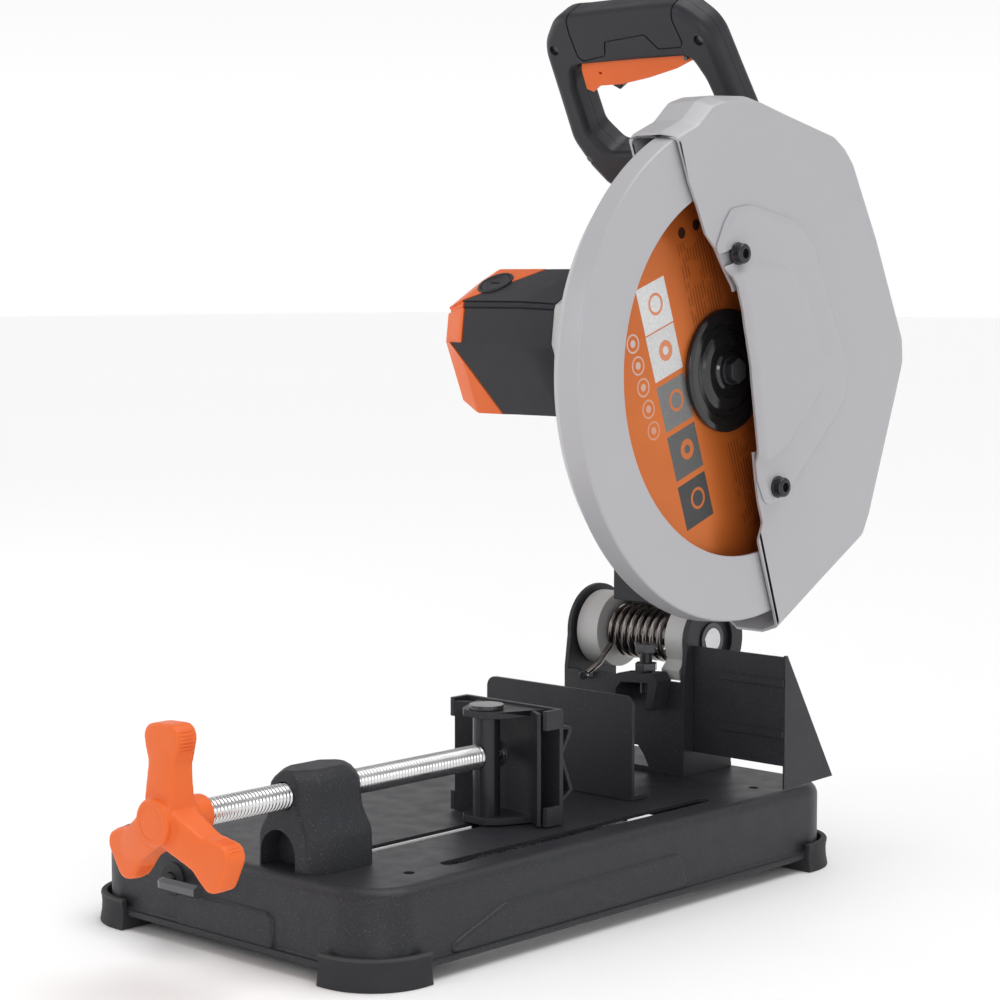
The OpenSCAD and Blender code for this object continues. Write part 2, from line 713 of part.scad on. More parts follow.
module fixed_guard() {
    color(cast_grey) difference() {
        guard_solid(0);
        guard_solid(2);
        yz_plate(fixed_back_x - 1, fixed_face_x + 1,
            concat(front_edge, [[40, 610], [-60, 610], [-60, 150], [185.5, 150]]));
        // window for changing the disc, closed by the arbor cover
        about_x(arbor, fixed_face_x - 5) cylinder(r = 62, h = 10);
        about_x(arbor, fixed_back_x - 2) cylinder(r = 34.2, h = 6);
        for (p = guard_bolt_at) about_x(p, fixed_face_x - 5) cylinder(r = 5, h = 10);
    }
    // flange on the gear housing's nose
    color(cast_grey) about_x(arbor, fixed_back_x) tube(48, 34.2, 2);
    // nut bosses behind the face, one for each cover bolt
    color(cast_grey) for (p = guard_bolt_at) about_x(p, fixed_face_x - 3.6) tube(7.5, 5, 1.7);
}

module guard_bolts() {
    color(black) for (p = guard_bolt_at) {
        about_x(p, fixed_face_x + 4.4) tube(8.4, 5.05, 1.6);
        about_x(p, fixed_face_x + 6) cap_bolt(9.9, 9.4, 15, 8, 6);
    }
}

module cover_solid(inset) {
    outline = concat(cover_outline, cover_edge);
    hull() {
        yz_plate(fixed_face_x + 0.3, fixed_face_x + 0.8, about(outline, [190, 400], 1 - inset / 90));
        yz_plate(fixed_face_x + 4 - inset, fixed_face_x + 4.1 - inset, about(outline, [190, 400], 0.95 - inset / 90));
    }
    hull() {
        yz_plate(fixed_face_x + 3.4 - inset, fixed_face_x + 3.5 - inset, about(cover_top, [185, 400], 1.07 - inset / 90));
        yz_plate(fixed_face_x + 8 - inset, fixed_face_x + 8.2 - inset, about(cover_top, [185, 400], 1 - inset / 90));
    }
}

module arbor_cover() {
    bolt_gap = norm(guard_bolt_at[0] - guard_bolt_at[1]);
    swing = guard_bolt_at[0] - guard_bolt_at[1];
    turn = atan2(swing[0], -swing[1]);
    color(cast_grey) difference() {
        union() {
            difference() {
                cover_solid(0);
                translate([-0.6, 0, 0]) cover_solid(1.8);
                yz_plate(fixed_face_x - 2, fixed_face_x + 20, concat(front_edge, [[-60, 600], [-60, 150], [185.5, 150]]));
            }
            about_x(guard_bolt_at[1], fixed_face_x + 0.3) cylinder(r = 9, h = 3.9);
            about_x(guard_bolt_at[0], fixed_face_x + 0.3) intersection() {
                cylinder(r = 13, h = 3.9);
                translate([-20, -9, 0]) cube([40, 30, 10]);
            }
        }
        about_x(guard_bolt_at[1], fixed_face_x - 2) cylinder(r = 5.05, h = 12);
        // open hook for the upper bolt, along the cover's swing
        about_x(guard_bolt_at[1], fixed_face_x - 2) rotate([0, 0, turn])
            rotate_extrude(angle = 14) translate([bolt_gap - 5.4, 0]) square([10.8, 12]);
        about_x(guard_bolt_at[0], fixed_face_x - 2) cylinder(r = 5.4, h = 12);
    }
}

// The swinging guard is a channel section turned through 182 degrees round the arbor
module moving_guard() {
    ro = guard_d / 2;
    ri = guard_open_d / 2;
    section = [[ri, 133], [ri, 135], [ro - 1.5, 135], [ro, 117], [176, 101.5], [39, 101.5], [39, 103.5],
        [175.2, 103.5], [ro - 2.2, 117], [ro - 3.6, 133]];
    color(cast_grey) {
        about_x(arbor, 0) rotate([0, 0, -170]) rotate_extrude(angle = 182, $fn = 128) polygon(section);
        about_x(arbor, 97) tube(40, 34.05, 7.2);
    }
}

// ---------- disc, spindle and gears ----------

function tooth_ring(n, r0, r1, land) = [for (i = [0:n - 1], k = [0:2])
    let (a = 360 / n * (i + [0, land, 0.62][k]), r = [r1, r1 - 0.4, r0][k]) r * [cos(a), sin(a)]];

module saw_disc() {
    color(orange) about_x(arbor, disc_x - disc_t / 2) difference() {
        linear_extrude(disc_t) polygon(tooth_ring(disc_teeth, disc_d / 2 - 7, disc_d / 2, 0.3));
        translate([0, 0, -1]) cylinder(d = disc_bore_d, h = 5);
        // expansion slots
        for (a = [0:90:270]) rotate([0, 0, a]) translate([disc_d / 2 - 22, -0.6, -1]) cube([16, 1.2, 5]);
    }
}

module inner_flange() {
    color(black) about_x(arbor, 106.5) tube(46, 12.7, disc_x - disc_t / 2 - 106.5);
}

module outer_flange() {
    x0 = disc_x + disc_t / 2;
    color(black) difference() {
        union() {
            about_x(arbor, x0) cylinder(r = 46.5, h = 5);
            about_x(arbor, x0 + 5 - eps) cylinder(r = 24, h = 2);
        }
        about_x(arbor, x0 - 1) cylinder(r = 12.7, h = 4);
        about_x(arbor, x0 - 1) cylinder(r = 5, h = 12);
        about_x(arbor, x0 + 4) tube(40, 30, 2);
    }
}

module arbor_bolt() {
    x0 = disc_x + disc_t / 2 + 7;
    color(zinc) {
        about_x(arbor, x0) cylinder(r = 11, h = 1.5);
        about_x(arbor, x0 + 1.5) cylinder(d = 17 / cos(30), h = 6, $fn = 6);
        about_x(arbor, x0 - 22) cylinder(r = 4.95, h = 22 + eps);
    }
}

module spindle() {
    color(zinc) difference() {
        union() {
            about_x(arbor, 8.5) cylinder(r = 6, h = 12);
            about_x(arbor, 20) cylinder(r = 10, h = 86.5);
            about_x(arbor, 106.5 - eps) cylinder(r = 12.65, h = 12);
        }
        about_x(arbor, 95) cylinder(r = 5, h = 40);
    }
}

// Spur gears: straight-sided teeth with generous backlash
gear_teeth = 42;
pinion_teeth = 12;
centre_gap = norm(motor - arbor);
gear_module = 2 * centre_gap / (gear_teeth + pinion_teeth);

function gear_points(n) = [for (i = [0:n - 1], k = [0:3])
    let (r = n * gear_module / 2, side = [-1, -1, 1, 1][k], top = k == 1 || k == 2,
         half = top ? 0.08 : 0.26, rr = top ? r + 0.75 * gear_module : r - 1.2 * gear_module,
         a = 360 / n * (i + side * half)) rr * [cos(a), sin(a)]];

// Angle of the line from the arbor to the motor, in about_x's own plane
mesh_angle = atan2(motor[0] - arbor[0], -(motor[1] - arbor[1]));

module output_gear() {
    color([0.5, 0.5, 0.52]) about_x(arbor, 24) rotate([0, 0, mesh_angle]) difference() {
        linear_extrude(16) polygon(gear_points(gear_teeth));
        translate([0, 0, -1]) cylinder(r = 10, h = 20);
    }
}

module armature_shaft() {
    color(zinc) {
        about_x(motor, motor_x[0] - 20.5) cylinder(r = 6, h = 200.5);
        about_x(motor, 24) rotate([0, 0, mesh_angle + 180 + 180 / pinion_teeth])
            linear_extrude(16) polygon(gear_points(pinion_teeth));
    }
}

module rotor_pack() {
    color([0.4, 0.4, 0.42]) about_x(motor, -112) tube(27.8, 6, 40);
    color([0.72, 0.40, 0.18]) for (x = [-117, -72]) about_x(motor, x) tube(24, 6, 5);
}

module commutator() { color([0.72, 0.45, 0.2]) about_x(motor, -134) tube(16, 6, 15); }

module cooling_fan() {
    color(black) {
        about_x(motor, -66) tube(12, 6, 10);
        about_x(motor, -66) tube(42, 11, 1.6);
        for (a = [0:30:330]) about_x(motor, -64.6) rotate([0, 0, a]) translate([11.5, -0.9, 0]) cube([30, 1.8, 7]);
    }
}

lock_x = 54;

module spindle_lock() {
    color(black) translate([lock_x, 92, arbor[1]]) rotate([-90, 0, 0]) {
        cylinder(d = 13, h = 7);
        cylinder(d = 10, h = 22);
        cylinder(d = 6, h = 36);
    }
}

// ---------- handle ----------

handle_at = [0, 209.5, 596.6];
shell_t = 15;
handle_x = -1;

// Local x across the head, local y along the loop's arms, local z to the front
module handle_frame() { translate(handle_at) rotate([90 + handle_lean, 0, 0]) translate([handle_x, 0, 0]) children(); }

loop_outer = concat([[-72, -64], [-83, -46], [-92, -20]], arc([-57, 62], 27, 172, 100, 6), [[-40, 90], [30, 91]],
    arc([58, 64], 27, 80, 8, 6), [[90, -20], [82, -46], [72, -64]]);
loop_inner = [[-57, -33], [-70, -14], [-67, 26], [-60, 47], [59, 47], [66, 26], [70, -14], [57, -33]];

module handle_shell(z0) {
    translate([0, 0, z0]) difference() {
        linear_extrude(shell_t) polygon(loop_outer);
        translate([0, 0, -1]) linear_extrude(shell_t + 2) polygon(loop_inner);
    }
}

handle_screw_at = [[-72, 62], [74, 60], [-81, -38], [80, -38]];

module handle_bores(z0) {
    // room for the switch and for the trigger's back
    translate([-46, 62, -10]) cube([84, 20, 20]);
    translate([-61, 40, -10.5]) cube([121, 24, 21]);
    for (p = handle_screw_at) translate([p[0], p[1], z0 - 12.5]) cylinder(d = 4.2, h = 40);
    translate([trigger_pivot[0], trigger_pivot[1], -13]) cylinder(d = 4, h = 26);
}

module handle_front_shell() {
    color(plastic_dark) handle_frame() difference() {
        handle_shell(0);
        handle_bores(0);
        for (p = handle_screw_at) translate([p[0], p[1], shell_t - 6]) cylinder(d = 8.6, h = 10);
    }
}

module handle_rear_shell() {
    color(plastic_dark) handle_frame() difference() {
        handle_shell(-shell_t);
        handle_bores(0);
    }
}

module handle_screws() {
    color(black) handle_frame() for (p = handle_screw_at) translate([p[0], p[1], 0]) {
        translate([0, 0, shell_t - 6]) cylinder(d = 8, h = 3);
        translate([0, 0, -12]) cylinder(d = 4.1, h = 22);
    }
    // pin that the trigger turns on
    color(zinc) handle_frame() translate([trigger_pivot[0], trigger_pivot[1], -13]) cylinder(d = 4, h = 26);
}

module trigger_switch() {
    color(black) handle_frame() {
        translate([-44, 66, -9.5]) cube([80, 15, 19]);
        translate([-30, 62, -4]) cube([10, 5, 8]);
    }
}

trigger_pivot = [54, 45];

module trigger() {
    color(orange) handle_frame() difference() {
        translate([0, 0, -10]) linear_extrude(20) polygon([[-56, 41], [-58, 24], [-52, 21], [-44, 26], [-20, 26],
            [10, 30], [40, 36], [58, 42], [58, 50], [50, 51], [-50, 52]]);
        translate([trigger_pivot[0], trigger_pivot[1], -20]) cylinder(d = 4.1, h = 40);
        translate([-37, 20, -6.5]) cube([15.6, 14, 13]);
        translate([-38, 37, -20]) cylinder(d = 3, h = 40);
    }
}

module lock_off() {
    color(black) handle_frame() translate([0, 0, -6]) linear_extrude(12)
        polygon([[-36.5, 30], [-36.5, 25], [-28, 19], [-22, 25], [-22, 30]]);
}

module handle_neck() {
    color(plastic_dark) difference() {
        hull() {
            handle_frame() translate([-66, -69, -13]) cube([132, 5, 26]);
            translate([-34, 172, 452]) cube([106, 40, 4]);
        }
        yz_plate(-43, 89, about(motor_outline, motor, 0.93));
        along_y(-1, 236, gland_z) cylinder(d = 20, h = 40);
    }
}

gland_z = 512;

module cord_gland() {
    color(black) along_y(-1, 236, gland_z) difference() {
        union() {
            cylinder(d = 20, h = 8);
            cylinder(d = 14, h = 26);
        }
        translate([0, 0, -1]) cylinder(d = 8, h = 40);
    }
}

base_tray();
rubber_feet();
foot_screws();
key_grommet();
base_bolts();
pivot_bracket();
pivot_shaft();
shaft_rings();
torsion_spring();
stop_bracket();
stop_nut();
deflector();
deflector_screws();
vise_block();
vise_nut();
fence_pivot_bolt();
fence();
fence_lock_bolt();
stop_bolt();
lock_pin();
hex_key();
jaw_pin();
vise_screw();
vise_knob();
screw_clip();
jaw_frame();
jaw_v_plate();
gear_housing();
pivot_arm();
arm_shield();
motor_housing();
motor_end_cap();
brush_caps();
carbon_brushes();
stator();
motor_bearings();
spindle_bearings();
fixed_guard();
guard_bolts();
handle_neck();
handle_front_shell();
handle_rear_shell();
handle_screws();
trigger_switch();
cord_gland();
arbor_cover();
moving_guard();
spindle();
output_gear();
saw_disc();
inner_flange();
outer_flange();
arbor_bolt();
armature_shaft();
rotor_pack();
commutator();
cooling_fan();
trigger();
lock_off();
spindle_lock();
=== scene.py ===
import json
import math

import bmesh
import bpy
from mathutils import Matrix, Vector


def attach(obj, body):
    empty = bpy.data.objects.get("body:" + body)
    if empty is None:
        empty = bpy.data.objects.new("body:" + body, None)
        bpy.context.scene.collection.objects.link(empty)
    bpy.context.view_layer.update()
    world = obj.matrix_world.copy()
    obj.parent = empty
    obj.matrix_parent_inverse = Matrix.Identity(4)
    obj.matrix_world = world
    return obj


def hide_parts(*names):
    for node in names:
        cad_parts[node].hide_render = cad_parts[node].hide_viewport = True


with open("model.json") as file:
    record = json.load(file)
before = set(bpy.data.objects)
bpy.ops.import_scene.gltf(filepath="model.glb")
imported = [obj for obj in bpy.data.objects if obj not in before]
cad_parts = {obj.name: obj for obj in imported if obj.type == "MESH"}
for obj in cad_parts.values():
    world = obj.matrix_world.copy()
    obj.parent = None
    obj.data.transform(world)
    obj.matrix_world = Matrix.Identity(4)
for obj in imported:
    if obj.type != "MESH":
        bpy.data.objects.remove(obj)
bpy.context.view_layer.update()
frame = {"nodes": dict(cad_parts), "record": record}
MM = 0.001
scene = bpy.context.scene
scene.view_settings.view_transform = "Standard"

# Axes along X as (y, z), planes across them as x, and the screw's axis along Y as (x, z), in mm
PIVOT = (220, 170.5)
ARBOR = (144, 390)
MOTOR = (180, 407)
DISC_X = 115
BACK_X = 93
FACE_X = 139
SCREW = (48, 114.5)

# ------------------------------------ camera, floor and light

CAMERA_PLACE = (1.24594, -1.31948, 0.45254)
CAMERA_AZIMUTH, CAMERA_ELEVATION = math.radians(42.894), math.radians(4.9825)
FOCAL_LENGTH, SENSOR_WIDTH, FAR_CLIP = 87.97, 36.0, 50.0
LIGHT_TARGET = Vector((0, 0, 0.3))
# Name, place, size and power
AREA_LIGHTS = (("key", (-0.6, -2.6, 1.6), (1.0, 1.0), 8), ("right", (2.5, -1.9, 1.1), (0.8, 0.8), 11),
               ("left", (-2.6, -0.8, 1.2), (0.6, 1.6), 9))
SUN_POWER, SUN_ANGLE, SUN_TURN = 1.6, math.radians(50), (math.radians(-12), math.radians(10), 0)
# The sky is white at the horizon and dimmer overhead, so that faces at a slant differ
SKY = {"From Min": 0.08, "From Max": 0.55, "To Min": 1.0, "To Max": 0.45}
FLOOR_HALF = 30.0


def add_object(name, data):
    ob = bpy.data.objects.new(name, data)
    scene.collection.objects.link(ob)
    return ob


def add_camera():
    data = bpy.data.cameras.new("camera")
    data.lens = FOCAL_LENGTH
    data.sensor_width = SENSOR_WIDTH
    data.clip_end = FAR_CLIP
    camera = add_object("camera", data)
    camera.location = CAMERA_PLACE
    camera.rotation_euler = (math.pi / 2 - CAMERA_ELEVATION, 0, CAMERA_AZIMUTH)
    scene.camera = camera


def add_area(name, location, size, power):
    data = bpy.data.lights.new(name, "AREA")
    data.shape = "RECTANGLE"
    data.size, data.size_y = size
    data.energy = power
    light = add_object(name, data)
    light.location = location
    light.rotation_euler = (LIGHT_TARGET - Vector(location)).to_track_quat("-Z", "Y").to_euler()


def add_studio():
    world = bpy.data.worlds.new("studio")
    world.use_nodes = True
    nodes, links = world.node_tree.nodes, world.node_tree.links
    background = nodes["Background"]
    background.inputs["Color"].default_value = (1, 1, 1, 1)
    axes, level = nodes.new("ShaderNodeSeparateXYZ"), nodes.new("ShaderNodeMapRange")
    links.new(nodes.new("ShaderNodeTexCoord").outputs["Generated"], axes.inputs[0])
    links.new(axes.outputs["Z"], level.inputs["Value"])
    for key, value in SKY.items():
        level.inputs[key].default_value = value
    links.new(level.outputs["Result"], background.inputs["Strength"])
    scene.world = world
    for row in AREA_LIGHTS:
        add_area(*row)
    data = bpy.data.lights.new("top", "SUN")
    data.energy = SUN_POWER
    data.angle = SUN_ANGLE
    add_object("top", data).rotation_euler = SUN_TURN
    mesh = bpy.data.meshes.new("floor")
    corners = [(x, y, 0) for x, y in rect(-FLOOR_HALF, FLOOR_HALF, -FLOOR_HALF, FLOOR_HALF)]
    mesh.from_pydata(corners, [], [(0, 1, 2, 3)])
    floor = add_object("floor", mesh)
    mesh.materials.append(build_material("floor", (0.96, 0.96, 0.96), 0.7, tint=(0.5, 0.004), bump=None))


# ------------------------------------ materials

materials = {}


class Graph:
    """Short calls for building a shader's nodes."""

    def __init__(self, name):
        self.material = bpy.data.materials.new(name)
        self.material.use_nodes = True
        tree = self.material.node_tree
        self.nodes, self.links = tree.nodes, tree.links
        self.shader = self.nodes["Principled BSDF"]
        self.coords = self.nodes.new("ShaderNodeTexCoord").outputs["Object"]
        materials[name] = self.material

    def put(self, socket, value):
        if isinstance(value, bpy.types.NodeSocket):
            self.links.new(value, socket)
        elif isinstance(value, tuple):
            with_alpha = len(value) == 3 and len(socket.default_value) == 4
            socket.default_value = (*value, 1) if with_alpha else value
        else:
            socket.default_value = value

    def noise(self, scale, detail=3.0, coords=None):
        n = self.nodes.new("ShaderNodeTexNoise")
        n.inputs["Scale"].default_value = scale
        n.inputs["Detail"].default_value = detail
        self.links.new(coords or self.coords, n.inputs["Vector"])
        return n.outputs["Fac"]

    def math(self, operation, a, b=None):
        n = self.nodes.new("ShaderNodeMath")
        n.operation = operation
        self.put(n.inputs[0], a)
        if b is not None:
            self.put(n.inputs[1], b)
        return n.outputs["Value"]

    def remap(self, value, lo, hi, a=0.3, b=0.7):
        r = self.nodes.new("ShaderNodeMapRange")
        for key, number in (("From Min", a), ("From Max", b), ("To Min", lo), ("To Max", hi)):
            r.inputs[key].default_value = number
        self.put(r.inputs["Value"], value)
        return r.outputs["Result"]

    def mix(self, fac, a, b):
        x = self.nodes.new("ShaderNodeMix")
        x.data_type = "RGBA"
        self.put(x.inputs[0], fac)
        self.put(x.inputs[6], a)
        self.put(x.inputs[7], b)
        return x.outputs[2]

    def map(self, scale=(1, 1, 1), location=(0, 0, 0)):
        m = self.nodes.new("ShaderNodeMapping")
        m.inputs["Scale"].default_value = scale
        m.inputs["Location"].default_value = location
        self.links.new(self.coords, m.inputs["Vector"])
        return m.outputs["Vector"]

    def split(self, vector):
        s = self.nodes.new("ShaderNodeSeparateXYZ")
        self.links.new(vector, s.inputs[0])
        return s.outputs

    def bump(self, height, strength, distance):
        b = self.nodes.new("ShaderNodeBump")
        b.inputs["Strength"].default_value = strength
        b.inputs["Distance"].default_value = distance
        self.links.new(height, b.inputs["Height"])
        self.links.new(b.outputs["Normal"], self.shader.inputs["Normal"])


def build_material(name, color, rough, metal=0.0, tint=(10, 0.06), rough_noise=(60, 0.05),
                   bump=(900, 0.25, 0.0003), specks=None, wear=None, specular=0.5, coat=0.0):
    """tint and rough_noise are (scale, amount), and bump is (scale, strength, metres).
    specks are (scale, threshold, color), and wear is (color, amount) along edges."""
    g = Graph(name)
    g.shader.inputs["Metallic"].default_value = metal
    g.shader.inputs["Specular IOR Level"].default_value = specular
    g.shader.inputs["Coat Weight"].default_value = coat
    low = tuple(c * (1 - tint[1]) for c in color)
    high = tuple(min(1, c * (1 + tint[1])) for c in color)
    shade = g.mix(g.remap(g.noise(tint[0]), 0, 1), low, high)
    if specks:
        shade = g.mix(g.remap(g.noise(specks[0], 1.0), 0, 1, specks[1], specks[1] + 0.05), shade, specks[2])
    if wear:
        pointy = g.nodes.new("ShaderNodeNewGeometry").outputs["Pointiness"]
        shade = g.mix(g.remap(pointy, 0, wear[1], 0.52, 0.60), shade, wear[0])
    g.put(g.shader.inputs["Base Color"], shade)
    matt = g.remap(g.noise(rough_noise[0]), rough - rough_noise[1], rough + rough_noise[1])
    g.put(g.shader.inputs["Roughness"], matt)
    if bump:
        g.bump(g.noise(bump[0], 2.0), bump[1], bump[2])
    return g.material


def make_materials():
    build_material("powder_coat", (0.023, 0.0235, 0.028), 0.44, specular=0.32, tint=(6, 0.07),
                   bump=(1500, 0.4, 0.00025), specks=(1100, 0.64, (0.055, 0.057, 0.063)))
    build_material("guard_paint", (0.44, 0.434, 0.455), 0.40, metal=0.1, tint=(4, 0.02),
                   bump=(500, 0.03, 0.0001), rough_noise=(20, 0.03))
    build_material("cast_alloy", (0.50, 0.495, 0.49), 0.46, metal=0.1, tint=(8, 0.05),
                   bump=(420, 0.2, 0.0003))
    build_material("black_plastic", (0.022, 0.022, 0.027), 0.44, specular=0.32, tint=(7, 0.08),
                   bump=(1300, 0.35, 0.0002))
    build_material("orange_plastic", (0.80, 0.145, 0.027), 0.42, specular=0.3, tint=(6, 0.04),
                   bump=(1100, 0.25, 0.0003))
    build_material("rubber", (0.024, 0.024, 0.027), 0.66, specular=0.3, tint=(9, 0.12),
                   bump=(700, 0.35, 0.0003), wear=((0.085, 0.085, 0.085), 0.4))
    build_material("zinc_steel", (0.70, 0.70, 0.70), 0.22, metal=1.0, tint=(30, 0.07),
                   bump=(500, 0.04, 0.0001))
    build_material("black_oxide", (0.030, 0.030, 0.034), 0.24, metal=0.5, tint=(25, 0.1),
                   bump=(700, 0.08, 0.0001), wear=((0.20, 0.20, 0.21), 0.5))
    build_material("gloss_black", (0.010, 0.010, 0.011), 0.16, coat=0.3, tint=(25, 0.1),
                   bump=(300, 0.03, 0.0001))
    build_material("bright_steel", (0.60, 0.60, 0.61), 0.24, metal=1.0, tint=(40, 0.06),
                   bump=(600, 0.05, 0.0001))
    build_material("spring_steel", (0.23, 0.205, 0.195), 0.20, metal=1.0, tint=(90, 0.25),
                   bump=(500, 0.06, 0.0001))
    build_material("cast_iron", (0.021, 0.022, 0.026), 0.55, specular=0.32, tint=(9, 0.1),
                   bump=(620, 0.55, 0.0005), specks=(900, 0.66, (0.07, 0.07, 0.078)))
    build_material("bronze", (0.50, 0.34, 0.14), 0.35, metal=1.0, tint=(30, 0.08), bump=(500, 0.05, 0.0001))
    build_material("lamination", (0.22, 0.20, 0.19), 0.5, metal=0.6, tint=(300, 0.3), bump=(900, 0.2, 0.0002))
    build_material("copper", (0.60, 0.28, 0.13), 0.35, metal=1.0, tint=(50, 0.15), bump=(500, 0.1, 0.0001))
    build_material("carbon", (0.02, 0.02, 0.02), 0.6, tint=(50, 0.1), bump=(900, 0.2, 0.0002))
    disc_material()


# The disc's print, in metres from the arbor: u runs across its column of squares and v runs down it
PRINT_TILT = math.radians(19.5)
PRINT_EDGE = 0.0002
# The brown is painted shade for the shadow under the fixed guard, not print.
PRINT_ORANGE, PAINTED_SHADE_BROWN, PRINT_PALE = (0.70, 0.175, 0.030), (0.40, 0.085, 0.018), (0.62, 0.60, 0.58)
STRIPE_INK, DOT_INK = (0.13, 0.035, 0.012), (0.05, 0.02, 0.012)
SQUARES = ((-0.0735, 0.80), (-0.0375, 0.74), (0.0015, 0.22), (0.0405, 0.13), (0.0800, 0.07))
BANDS = ((-0.0035, -0.073, 0.034), (0.004, 0.090, 0.036))
DOTS = ((-0.0146, -0.1134), (0.0034, -0.1137))


def disc_material():
    """Printed disc: orange mottled with brown painted shade, with bare and dark squares in a column, ring
    icons and fine plain bands.
    """
    g = Graph("disc_print")
    axes = g.split(g.map(location=(0, -ARBOR[0] * MM, -ARBOR[1] * MM)))
    y, z = axes[1], axes[2]
    # painted shade: brown mixed over the orange in patches placed at random by noise, for the shadow under the
    # fixed guard
    shade = g.mix(g.remap(g.noise(5), 0, 0.5), PRINT_ORANGE, PAINTED_SHADE_BROWN)
    bare = g.remap(g.noise(8, 4, g.map(scale=(1, 60, 60))), 0.35, 0.8, 0.35, 0.65)
    c, s = math.cos(PRINT_TILT), math.sin(PRINT_TILT)
    u = g.math("ADD", g.math("MULTIPLY", y, c), g.math("MULTIPLY", z, s))
    v = g.math("SUBTRACT", g.math("MULTIPLY", y, s), g.math("MULTIPLY", z, c))

    def inside(value, centre, half, soft=PRINT_EDGE):
        return g.remap(g.math("ABSOLUTE", g.math("SUBTRACT", value, centre)), 1, 0, half - soft, half + soft)

    def both(a, b):
        return g.math("MULTIPLY", a, b)

    def distance(u0, v0):
        du, dv = g.math("SUBTRACT", u, u0), g.math("SUBTRACT", v, v0)
        return g.math("SQRT", g.math("ADD", both(du, du), both(dv, dv)))

    for k, (v0, tone) in enumerate(SQUARES):
        patch = both(inside(u, -0.0615 - 0.0004 * k, 0.0168), inside(v, v0, 0.0175))
        shade = g.mix(patch, shade, g.mix(bare, (tone * 0.7,) * 3, (tone,) * 3))
        # a plain ring in the disc's own colour, thin or thick by turns
        radius, half = (0.0055, 0.0022) if k % 2 else (0.0072, 0.0011)
        ring = inside(distance(-0.0600, v0 - 0.001), radius, half)
        shade = g.mix(both(ring, 0.85), shade, PRINT_ORANGE)
    for k in range(5):
        r = distance(-0.0935 + 0.0004 * k, -0.0560 + 0.0170 * k)
        line = g.math("MAXIMUM", inside(r, 0.0064, 0.0006), inside(r, 0.0, 0.0028))
        shade = g.mix(both(line, 0.75 - 0.1 * k), shade, PRINT_PALE)
    # fine plain bands either side of the hub
    stripe = g.math("GREATER_THAN", g.math("SINE", g.math("MULTIPLY", u, 1900)), 0.35)
    breaks = g.remap(g.noise(30, 1, g.map(scale=(1, 3, 3))), 0, 1, 0.42, 0.46)
    for u0, v0, half in BANDS:
        block = both(inside(u, u0, 0.0195), inside(v, v0, half))
        shade = g.mix(both(both(block, stripe), both(breaks, 0.55)), shade, STRIPE_INK)
    for u0, v0 in DOTS:
        shade = g.mix(inside(distance(u0, v0), 0.0, 0.0042), shade, DOT_INK)
    g.put(g.shader.inputs["Base Color"], shade)
    g.shader.inputs["Metallic"].default_value = 0.45
    g.put(g.shader.inputs["Roughness"], g.remap(g.noise(40), 0.3, 0.42))
    g.bump(g.noise(3, 2, g.map(scale=(1, 200, 200))), 0.03, 0.0001)


# ------------------------------------ mesh helpers, all in mm


def fillet(points, radius, n, closed=True):
    """Rounds a polygon's corners. radius is one number or one for each point."""
    out = []
    count = len(points)
    for i, p in enumerate(points):
        r = radius[i] if isinstance(radius, (list, tuple)) else radius
        if r <= 0 or (not closed and i in (0, count - 1)):
            out.append(tuple(p))
            continue
        p = Vector(p)
        before, after = Vector(points[i - 1]) - p, Vector(points[(i + 1) % count]) - p
        half = before.angle(after, 0.0) / 2
        if min(before.length, after.length) < 1e-6 or half > math.pi / 2 - 0.01:
            out.append(tuple(p))
            continue
        t = min(r / math.tan(half), 0.48 * before.length, 0.48 * after.length)
        a, b = p + before.normalized() * t, p + after.normalized() * t
        for k in range(n + 1):
            s = k / n
            out.append(tuple(a * (1 - s) ** 2 + p * 2 * s * (1 - s) + b * s * s))
    return out


def rounded(corners, n, closed=True):
    """A polygon from (a, b, radius) rows."""
    return fillet([c[:2] for c in corners], [c[2] for c in corners], n, closed)


def area_of(points):
    return sum(points[i - 1][0] * p[1] - p[0] * points[i - 1][1] for i, p in enumerate(points)) / 2


def inset(points, distance):
    """Moves a smooth closed outline inwards."""
    sign = 1 if area_of(points) > 0 else -1
    out = []
    count = len(points)
    for i in range(count):
        a, b, c = Vector(points[i - 1]), Vector(points[i]), Vector(points[(i + 1) % count])
        d1, d2 = (b - a).normalized(), (c - b).normalized()
        n1, n2 = Vector((-d1.y, d1.x)), Vector((-d2.y, d2.x))
        n = n1 + n2
        n = n / max(0.5, n.dot(n1))
        out.append(tuple(b + n * distance * sign))
    return out


def loft(rings, loop=False):
    """A skin through closed rings of equally many 3-D points, with ends unless it is a loop."""
    n = len(rings[0])
    verts = [p for ring in rings for p in ring]
    faces = []
    for i in range(len(rings) if loop else len(rings) - 1):
        a, b = i * n, (i + 1) % len(rings) * n
        faces += [(a + j, a + (j + 1) % n, b + (j + 1) % n, b + j) for j in range(n)]
    if not loop:
        faces += [tuple(range(n))[::-1], tuple((len(rings) - 1) * n + j for j in range(n))]
    return verts, faces


def on_x(outline, x):
    return [(x, p[0], p[1]) for p in outline]


def on_y(outline, y):
    return [(p[0], y, p[1]) for p in outline]


def on_z(outline, z):
    return [(p[0], p[1], z) for p in outline]


def revolve(profile, centre, a0=0.0, a1=360.0, n=96):
    """Turns (radius, x) points round the X axis through centre. Angle 0 is down and 90 is to the rear."""
    full = abs(a1 - a0) > 359.9
    rings = []
    for k in range(n if full else n + 1):
        a = math.radians(a0 + (a1 - a0) * k / n)
        rings.append([(x, centre[0] + r * math.sin(a), centre[1] - r * math.cos(a)) for r, x in profile])
    return loft(rings, loop=full)


def turned_y(profile, centre, n=48):
    """A closed turned solid on an axis along Y; profile is (radius, y) and centre is (x, z)."""
    return loft([[(centre[0] + r * math.cos(a), y, centre[1] + r * math.sin(a)) for r, y in profile]
                 for a in turn_of(n)], loop=True)


def turn_of(n):
    """n angles once round."""
    return [2 * math.pi * k / n for k in range(n)]


